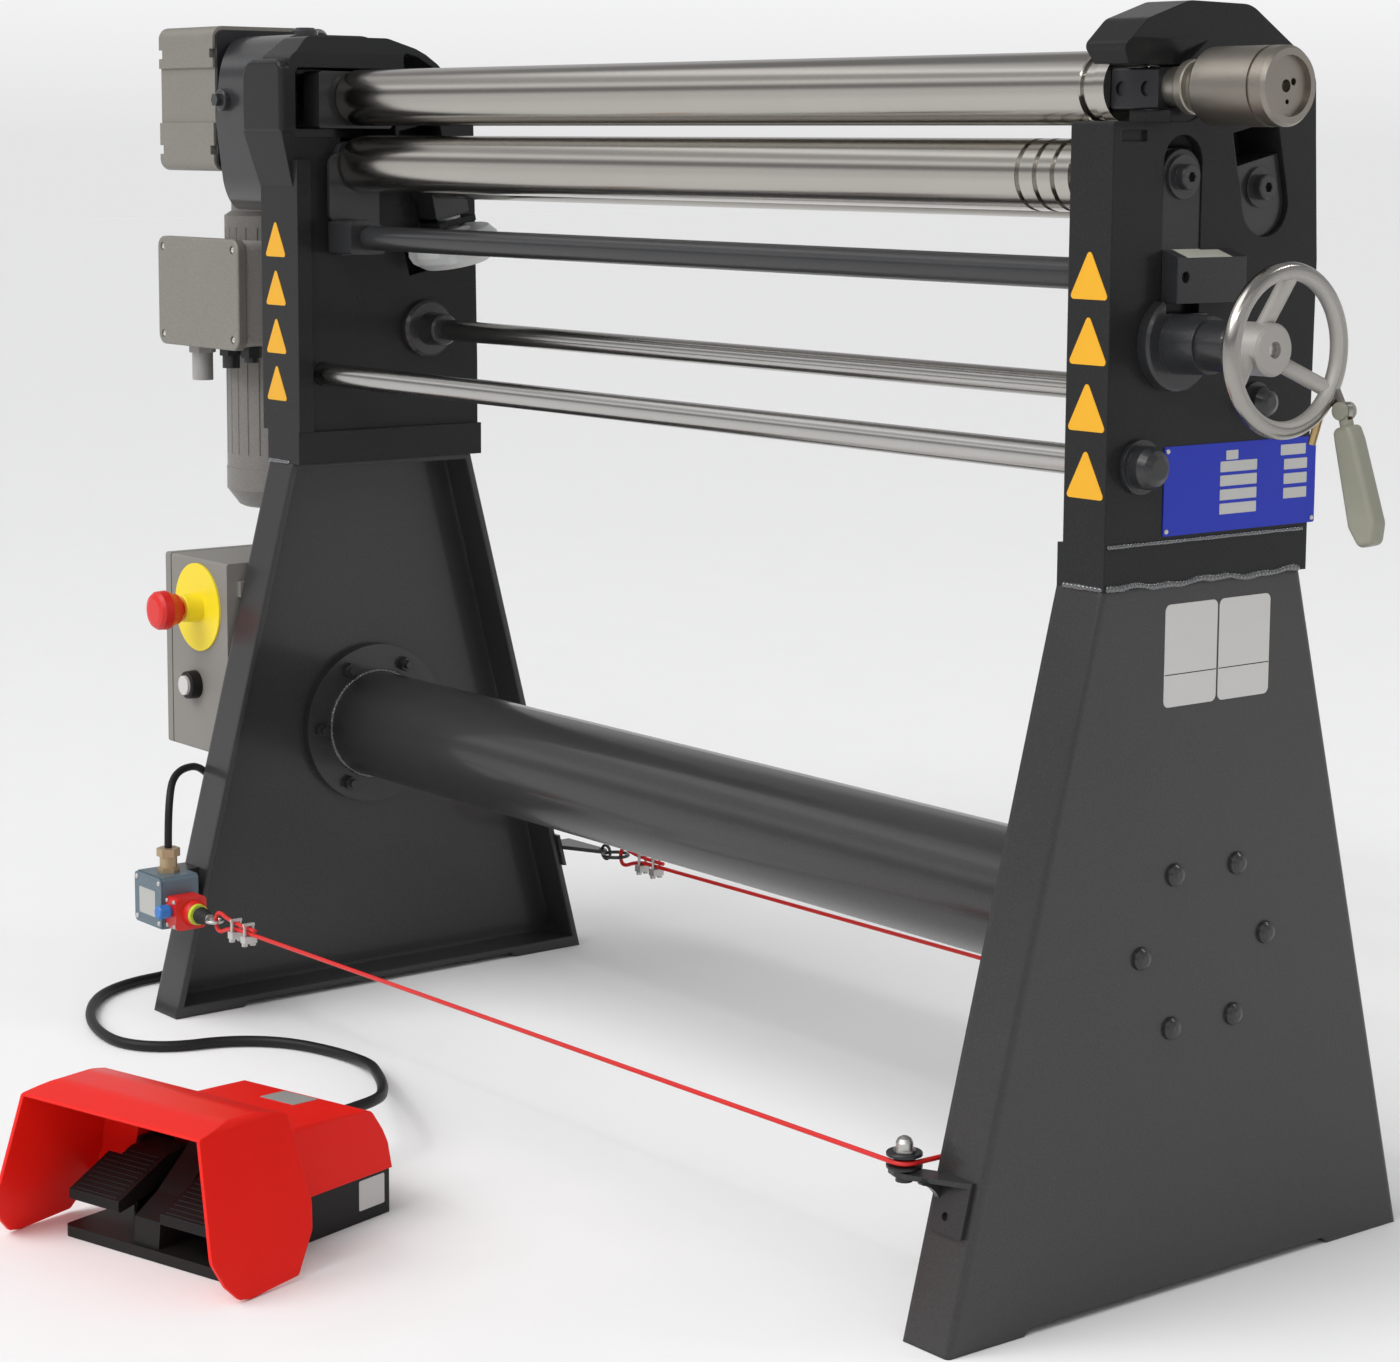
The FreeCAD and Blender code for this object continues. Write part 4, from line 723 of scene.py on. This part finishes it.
@dataclass(frozen=True)
class CordRoute:
    """A cord: the control points of its spline, in millimetres in the machine frame."""

    name: str
    node: str
    points: Tuple[Vec3, ...]
    radius: float
    length: float
    finish: Finish
    slot: str
    lay: str
    stiffness: str

    def make(self, paints: Paints) -> None:
        """Args:
            paints: Material store.
        """
        data = bpy.data.curves.new(self.name, "CURVE")
        data.dimensions = "3D"
        data.bevel_depth = self.radius / 1000.0
        data.bevel_resolution = 5
        data.resolution_u = 14
        data.use_fill_caps = True
        spline = data.splines.new("NURBS")
        spline.points.add(len(self.points) - 1)
        for control, point in zip(spline.points, self.points):
            control.co = (*Site.at(*point), 1.0)
        spline.order_u = 3
        spline.use_endpoint_u = True
        obj = bpy.data.objects.new(self.name, data)
        bpy.context.scene.collection.objects.link(obj)
        paints.coat(obj, self.finish)
        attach(obj, FRAME_BODY)
        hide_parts(self.node)
        tuple(Site.at(*self.points[0]))
        LOG.info("piece %s", self.name)


FLOOR_Z = 5.2
SWITCH_CABLE = CordRoute(
    "switch_cable_piece", "switch_cable",
    ((-645, -60, 231.2), (-645, -60, 166), (-622, -122, 146), (-606, -170, 238),
     (-580, -222, 243), (-551, -246, 216), (-550, -247, 172.3)),
    3.8, 0.351, CABLE, "cable_black", "hanging", "medium")
FOOT_CABLE = CordRoute(
    "foot_cable_piece", "foot_cable",
    ((-676, -66, 231.2), (-676, -66, 160), (-677, -78, 86), (-678, -110, 27),
     (-679, -168, FLOOR_Z), (-676, -227, FLOOR_Z), (-650, -275, FLOOR_Z),
     (-596, -314, FLOOR_Z), (-535, -337, FLOOR_Z), (-478, -340, FLOOR_Z),
     (-440, -308, FLOOR_Z), (-428, -252, FLOOR_Z), (-390, -210, FLOOR_Z),
     (-330, -190, FLOOR_Z), (-268, -192, 9), (-210, -221, 18), (-155, -252, 30),
     (-100, -285, 42), (-58, -315, 49), (-43.74, -359.84, 50), (-33.77, -396.51, 50)),
    5.0, 1.182, CABLE, "cable_black", "loose", "medium")
PULL_ROPE = CordRoute(
    "pull_rope_piece", "pull_rope",
    ((-387.5, -244.5, 119.7), (-431.5, -244.5, 119.3), (-461.5, -244.5, 127.5),
     (-461.5, -244.5, 102.5), (-431.5, -244.5, 114.5), (-399.5, -244.5, 115.0),
     (510.5, -244.5, 130.1), (534.5, -244.5, 130.5), (534.5, -220.5, 130.1),
     (534.5, 220.5, 121.5), (534.5, 244.5, 121.0), (510.5, 244.5, 120.8),
     (-399.5, 244.5, 112.8), (-431.5, 244.5, 112.5), (-461.5, 244.5, 100.5),
     (-461.5, 244.5, 125.5), (-431.5, 244.5, 117.3), (-387.5, 244.5, 117.7)),
    2.0, 2.646, ROPE, "rope_red", "taut", "medium")


@dataclass(frozen=True)
class Labels:
    """Bare stickers and plates: plain colour fields with no lettering or signs."""

    front_y: float = -106.0
    stickers: Tuple[Tuple[str, float, Tuple[float, ...]], ...] = (
        ("near", 566.4, (755, 708, 660, 611)), ("far", -568.5, (750, 702, 654, 607)))
    sticker: Tuple[float, float, float] = (40, 37, 2.6)
    side_x: float = 587.5
    label_starts: Tuple[float, float] = (-41.0, 17.0)
    label_floor: float = 453.0
    label_size: Tuple[float, float] = (56, 77)
    label_thickness: float = 0.35
    rule_height: float = 24.0
    plate_corner: Tuple[float, float] = (-47.0, 581.0)
    plate_size: Tuple[float, float] = (166, 66)
    plate_thickness: float = 0.8
    rivet_inset: float = 3.5

    def side(self, shop: Workshop, name: str, place: Vec3, outline: Sequence[Tuple[float, float]],
             thickness: float, finish: Finish, slot: str) -> None:
        """Put a patch on the near stand's or head's outer face.

        Args:
            shop: The workshop that publishes the pieces.
            name: Piece name.
            place: Lift off the face, then the corner along Y and Z.
            outline: Outline from that corner.
            thickness: Its thickness.
            finish: Its finish.
            slot: Material slot name, kept on the patch but not used.
        """
        lift, y, z = place
        shop.patch(Patch(name, (self.side_x + lift, y, z), (0, 1, 0), (0, 0, 1), outline,
                         thickness, finish, slot))

    def triangles(self, shop: Workshop) -> None:
        """Make the plain triangles up the front edges of both heads.

        Args:
            shop: The workshop that publishes the pieces.
        """
        for end, x, floors in self.stickers:
            for index, z in enumerate(floors):
                shop.patch(Patch(f"sticker_{end}_{index + 1}", (x, self.front_y, z), (1, 0, 0),
                                 (0, 0, 1), triangle(*self.sticker), self.label_thickness,
                                 YELLOW_TAPE, "yellow_plastic"))

    def pair(self, shop: Workshop) -> None:
        """Make the two pale labels with a thin rule each.

        Args:
            shop: The workshop that publishes the pieces.
        """
        width = self.label_size[0]
        for index, y in enumerate(self.label_starts):
            self.side(shop, f"white_label_{index + 1}", (0, y, self.label_floor),
                      rounded((0, 0), self.label_size, 5), self.label_thickness, WHITE,
                      "white_plastic")
            self.side(shop, f"label_rule_{index + 1}",
                      (self.label_thickness, y, self.label_floor + self.rule_height),
                      rounded((0.5, 0), (width - 0.5, 0.7), 0.3), 0.1, BLACK, "black_plastic")

    def plate(self, shop: Workshop) -> None:
        """Make the blue plate with its bare fields and rivets.

        Args:
            shop: The workshop that publishes the pieces.
        """
        (y, z), (width, height) = self.plate_corner, self.plate_size
        self.side(shop, "blue_plate", (0, y, z), rounded((0, 0), self.plate_size, 1.5),
                  self.plate_thickness, BLUE_PLATE, "blue_plastic")
        fields = [(66, 53, 13, 7), (126, 53, 28, 8)]
        fields += [(60, 44 - 10.5 * k, 40, 8) for k in range(4)]
        fields += [(130, 42 - 11 * k, 26, 8) for k in range(3)]
        for index, (a, b, wide, tall) in enumerate(fields):
            self.side(shop, f"plate_field_{index + 1}", (self.plate_thickness, y + a, z + b),
                      rounded((0, 0), (wide, tall), 0.6), 0.12, SILVER_LABEL, "white_plastic")
        inset = self.rivet_inset
        rivets = [(self.side_x + self.plate_thickness, a, b)
                  for a in (y + inset, y + width - inset) for b in (z + inset, z + height - inset)]
        shop.screws("plate_rivets", rivets, (1, 0, 0), 1.9, 1.2, cross=False)

    def switches(self, shop: Workshop) -> None:
        """Make the small labels of the foot switch and the rope switch.

        Args:
            shop: The workshop that publishes the pieces.
        """
        across, along = Site.FOOT_AXES
        slope = tuple((Vector(along) - Vector((0, 0, 0.0783))).normalized())
        shop.patch(Patch("foot_label_top", Site.foot(-21, 152, 89.35), across, slope,
                         rounded((0, 0), (38, 29), 1.5), 0.3, SILVER_LABEL, "white_plastic"))
        shop.patch(Patch("foot_label_side", Site.foot(78.0, 163, 9.5), along, (0, 0, 1),
                         rounded((0, 0), (30, 25), 1.5), 0.3, WHITE, "white_plastic"))
        shop.patch(Patch("switch_label", (-570.5, -268.5, 107), (1, 0, 0), (0, 0, 1),
                         rounded((0, 0), (32, 26), 1.0), 0.2, SILVER_LABEL, "white_plastic"))

    def make(self, shop: Workshop) -> None:
        """Make every label.

        Args:
            shop: The workshop that publishes the pieces.
        """
        self.triangles(shop)
        self.pair(shop)
        self.plate(shop)
        self.switches(shop)


@dataclass(frozen=True)
class LidScrews:
    """Four screws at the corners of a lid that faces the front, in millimetres."""

    name: str
    columns: Tuple[float, float]
    face_y: float
    rows: Tuple[float, float]
    radius: float
    height: float


@dataclass(frozen=True)
class Hardware:
    """Small fasteners and weld beads."""

    lids: Tuple[LidScrews, ...] = (
        LidScrews("terminal_lid_screws", (-818, -673), -92.2, (661, 753), 3.9, 3.2),
        LidScrews("switch_cover_screws", (-575, -531), -268.5, (102, 142), 2.6, 1.4),
        LidScrews("switch_head_screws", (-522, -508.5), -264.5, (102.5, 127), 2.2, 1.2))
    waist_x: float = 587.3
    waist_z: float = 546.0
    half_depth: float = 104.0
    front_x: float = 566.0
    front_y: float = -105.6
    front_half: float = 20.0
    ring_x: float = 571.0
    ring_centre: Tuple[float, float] = (10.0, 266.0)
    ring_radius: float = 55.0
    ring_steps: int = 48

    def ring(self, side: int) -> List[Vec3]:
        """Path of the bead round the base tube at one stand.

        Args:
            side: 1 at the near stand, -1 at the far one.

        Returns:
            The corner points.
        """
        y, z = self.ring_centre
        angles = [math.tau * k / self.ring_steps for k in range(self.ring_steps + 1)]
        return [(side * self.ring_x, y + self.ring_radius * math.cos(a),
                 z + self.ring_radius * math.sin(a)) for a in angles]

    def make(self, shop: Workshop) -> None:
        """Make every small fastener and bead.

        Args:
            shop: The workshop that publishes the pieces.
        """
        for lid in self.lids:
            spots = [(x, lid.face_y, z) for x in lid.columns for z in lid.rows]
            shop.screws(lid.name, spots, (0, -1, 0), lid.radius, lid.height)
        ends = (("near", 1), ("far", -1))
        for end, side in ends:
            x = side * self.waist_x
            shop.weld(f"waist_weld_{end}", [(x, -self.half_depth, self.waist_z),
                                            (x, self.half_depth, self.waist_z)], 2.6, wander=1.1)
        shop.weld("foot_weld_near", [(588.0, -104, 577), (588.0, 106, 577)], 1.6)
        for end, side in ends:
            x = side * self.front_x
            shop.weld(f"front_weld_{end}", [(x - self.front_half, self.front_y, self.waist_z),
                                            (x + self.front_half, self.front_y, self.waist_z)],
                      2.2)
        for end, side in ends:
            shop.weld(f"tube_weld_{end}", self.ring(side), 2.4)


@dataclass(frozen=True)
class Lamp:
    """A soft area light, in metres and watts."""

    name: str
    where: Vec3
    target: Vec3
    size: Tuple[float, float]
    power: float
    colour: Colour = (1.0, 1.0, 1.0)

    def make(self) -> None:
        """Put the light in the scene."""
        data = bpy.data.lights.new(self.name, "AREA")
        data.shape = "RECTANGLE"
        data.size, data.size_y = self.size
        data.energy = self.power
        data.color = self.colour
        lamp = bpy.data.objects.new(self.name, data)
        bpy.context.scene.collection.objects.link(lamp)
        lamp.location = self.where
        aim = Vector(self.target) - Vector(self.where)
        lamp.rotation_euler = aim.to_track_quat("-Z", "Y").to_euler()


class Studio:
    """Camera, lights and floor."""

    AZIMUTH = math.radians(51.54)
    ELEVATION = math.radians(7.53)
    ROLL = math.radians(0.36)
    DISTANCE = 2831.6
    TARGET = (0.0, 0.0, 493.9)
    SENSOR = 36.0
    LENS = 82.03
    SHIFT = (-0.0090, -0.0832)
    CLIP = (0.05, 60.0)
    BACK_BANDS = ((-90.0, 0.924), (0.0, 0.924), (3.5, 1.13), (9.0, 0.66), (27.0, 0.62),
                  (31.0, 0.30), (42.0, 0.30), (50.0, 0.46), (90.0, 0.46))
    FRONT_BANDS = ((-90.0, 0.924), (3.0, 0.924), (8.0, 0.30), (14.0, 0.30), (19.5, 1.20),
                   (22.5, 1.20), (26.5, 0.58), (33.5, 0.58), (36.0, 1.55), (38.5, 1.55),
                   (40.0, 1.20), (46.0, 0.50), (90.0, 0.46))
    WORLD = 0.84
    TURN_FROM, TURN_TO = 0.10, -0.05
    SUN = 1.5
    SUN_SPREAD = math.radians(50.0)
    SUN_AIM = (0.2, 0.85, -1.0)
    MIDDLE = (0.0, 0.2, 0.5)
    TUBE_SIZE = (1.3, 0.07)
    LAMPS = (
        Lamp("key", (1.2, -3.4, 3.0), MIDDLE, (2.6, 1.4), 15.0, (1.0, 0.985, 0.96)),
        Lamp("side", (4.2, 0.6, 2.2), (0.3, 0.2, 0.5), (1.6, 2.0), 2.5),
        Lamp("tube_1", (2.6, -2.2, 2.9), MIDDLE, TUBE_SIZE, 12.0),
        Lamp("tube_2", (-0.6, -2.6, 2.9), MIDDLE, TUBE_SIZE, 12.0),
        Lamp("tube_3", (1.8, 2.2, 2.9), MIDDLE, TUBE_SIZE, 9.0))
    FLOOR_REACH = 30.0
    FLOOR_DROP = 0.0004

    @classmethod
    def camera(cls) -> None:
        """Place the camera."""
        back = Vector((math.sin(cls.AZIMUTH) * math.cos(cls.ELEVATION),
                       -math.cos(cls.AZIMUTH) * math.cos(cls.ELEVATION),
                       math.sin(cls.ELEVATION)))
        forward = -back
        right = forward.cross(Vector((0, 0, 1))).normalized()
        up = right.cross(forward)
        axis_x = right * math.cos(cls.ROLL) + up * math.sin(cls.ROLL)
        axis_y = -right * math.sin(cls.ROLL) + up * math.cos(cls.ROLL)
        data = bpy.data.cameras.new("camera")
        data.sensor_fit = "HORIZONTAL"
        data.sensor_width = cls.SENSOR
        data.lens = cls.LENS
        data.shift_x, data.shift_y = cls.SHIFT
        data.clip_start, data.clip_end = cls.CLIP
        camera = bpy.data.objects.new("camera", data)
        bpy.context.scene.collection.objects.link(camera)
        place = Site.at(*cls.TARGET) + back * (cls.DISTANCE / 1000.0)
        rotation = Matrix((axis_x, axis_y, back)).transposed().to_4x4()
        camera.matrix_world = Matrix.Translation(place) @ rotation
        bpy.context.scene.camera = camera

    @staticmethod
    def ramp(tree: bpy.types.NodeTree, height: bpy.types.Node,
             bands: Sequence[Tuple[float, float]]) -> bpy.types.NodeSocket:
        """Add a colour ramp over the direction's elevation.

        Args:
            tree: The world's node tree.
            height: Node whose first output runs 0 to 1 from straight down to straight up.
            bands: Elevation in degrees and grey level, in rising order.

        Returns:
            The ramp's colour output.
        """
        node = tree.nodes.new("ShaderNodeValToRGB")
        tree.links.new(height.outputs[0], node.inputs[0])
        stops = node.color_ramp.elements
        while len(stops) > 1:
            stops.remove(stops[-1])
        for index, (degrees, level) in enumerate(bands):
            place = 0.5 + 0.5 * math.sin(math.radians(degrees))
            stop = stops[0] if index == 0 else stops.new(place)
            stop.position = place
            stop.color = (level, level, level * 1.01, 1.0)
        return node.outputs[0]

    @classmethod
    def light(cls) -> None:
        """Set the world and the lamps."""
        world = bpy.data.worlds.new("studio")
        bpy.context.scene.world = world
        world.use_nodes = True
        tree = world.node_tree
        background = tree.nodes["Background"]
        split = tree.nodes.new("ShaderNodeSeparateXYZ")
        tree.links.new(tree.nodes.new("ShaderNodeTexCoord").outputs["Generated"],
                       split.inputs[0])
        height = tree.nodes.new("ShaderNodeMapRange")
        height.inputs["From Min"].default_value = -1.0
        tree.links.new(split.outputs[2], height.inputs[0])
        side = tree.nodes.new("ShaderNodeMapRange")
        side.inputs["From Min"].default_value = cls.TURN_FROM
        side.inputs["From Max"].default_value = cls.TURN_TO
        tree.links.new(split.outputs[1], side.inputs[0])
        mix = tree.nodes.new("ShaderNodeMix")
        mix.data_type = "RGBA"
        tree.links.new(side.outputs[0], mix.inputs[0])
        tree.links.new(cls.ramp(tree, height, cls.BACK_BANDS), mix.inputs[6])
        tree.links.new(cls.ramp(tree, height, cls.FRONT_BANDS), mix.inputs[7])
        tree.links.new(mix.outputs[2], background.inputs[0])
        background.inputs[1].default_value = cls.WORLD
        sun = bpy.data.lights.new("sun", "SUN")
        sun.energy, sun.angle = cls.SUN, cls.SUN_SPREAD
        lamp = bpy.data.objects.new("sun", sun)
        bpy.context.scene.collection.objects.link(lamp)
        lamp.rotation_euler = Vector(cls.SUN_AIM).to_track_quat("-Z", "Y").to_euler()
        for soft in cls.LAMPS:
            soft.make()

    @classmethod
    def floor(cls, paints: Paints) -> None:
        """Lay the pale floor.

        Args:
            paints: Material store.
        """
        mesh = bmesh.new()
        bmesh.ops.create_grid(mesh, x_segments=2, y_segments=2, size=cls.FLOOR_REACH)
        data = bpy.data.meshes.new("studio_floor")
        mesh.to_mesh(data)
        mesh.free()
        floor = bpy.data.objects.new("studio_floor", data)
        floor.location.z = -cls.FLOOR_DROP
        bpy.context.scene.collection.objects.link(floor)
        paints.coat(floor, FLOOR)


class BendingMachine:
    """The whole model: the finishes of the CAD nodes and every piece added to them."""

    def __init__(self, nodes: Dict[str, bpy.types.Object]) -> None:
        """Keep the CAD nodes.

        Args:
            nodes: Node name to object.
        """
        self.nodes = nodes
        self.paints = Paints()
        self.shop = Workshop(self.paints)

    def dress(self) -> None:
        """Give every CAD node its finish."""
        for name, obj in self.nodes.items():
            if name in NODE_FINISH:
                self.paints.coat(obj, NODE_FINISH[name])
                LOG.info("node %s", name)

    def build(self) -> None:
        """Make everything."""
        Studio.camera()
        for cord in (PULL_ROPE, SWITCH_CABLE, FOOT_CABLE):
            cord.make(self.paints)
        self.dress()
        Labels().make(self.shop)
        Hardware().make(self.shop)
        Studio.light()
        Studio.floor(self.paints)


def main() -> None:
    """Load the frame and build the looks."""
    logging.basicConfig(level=logging.INFO)
    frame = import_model()
    BendingMachine(frame["nodes"]).build()
    scene = bpy.context.scene
    scene.view_settings.view_transform = "Standard"


if __name__ == "__main__":
    main()
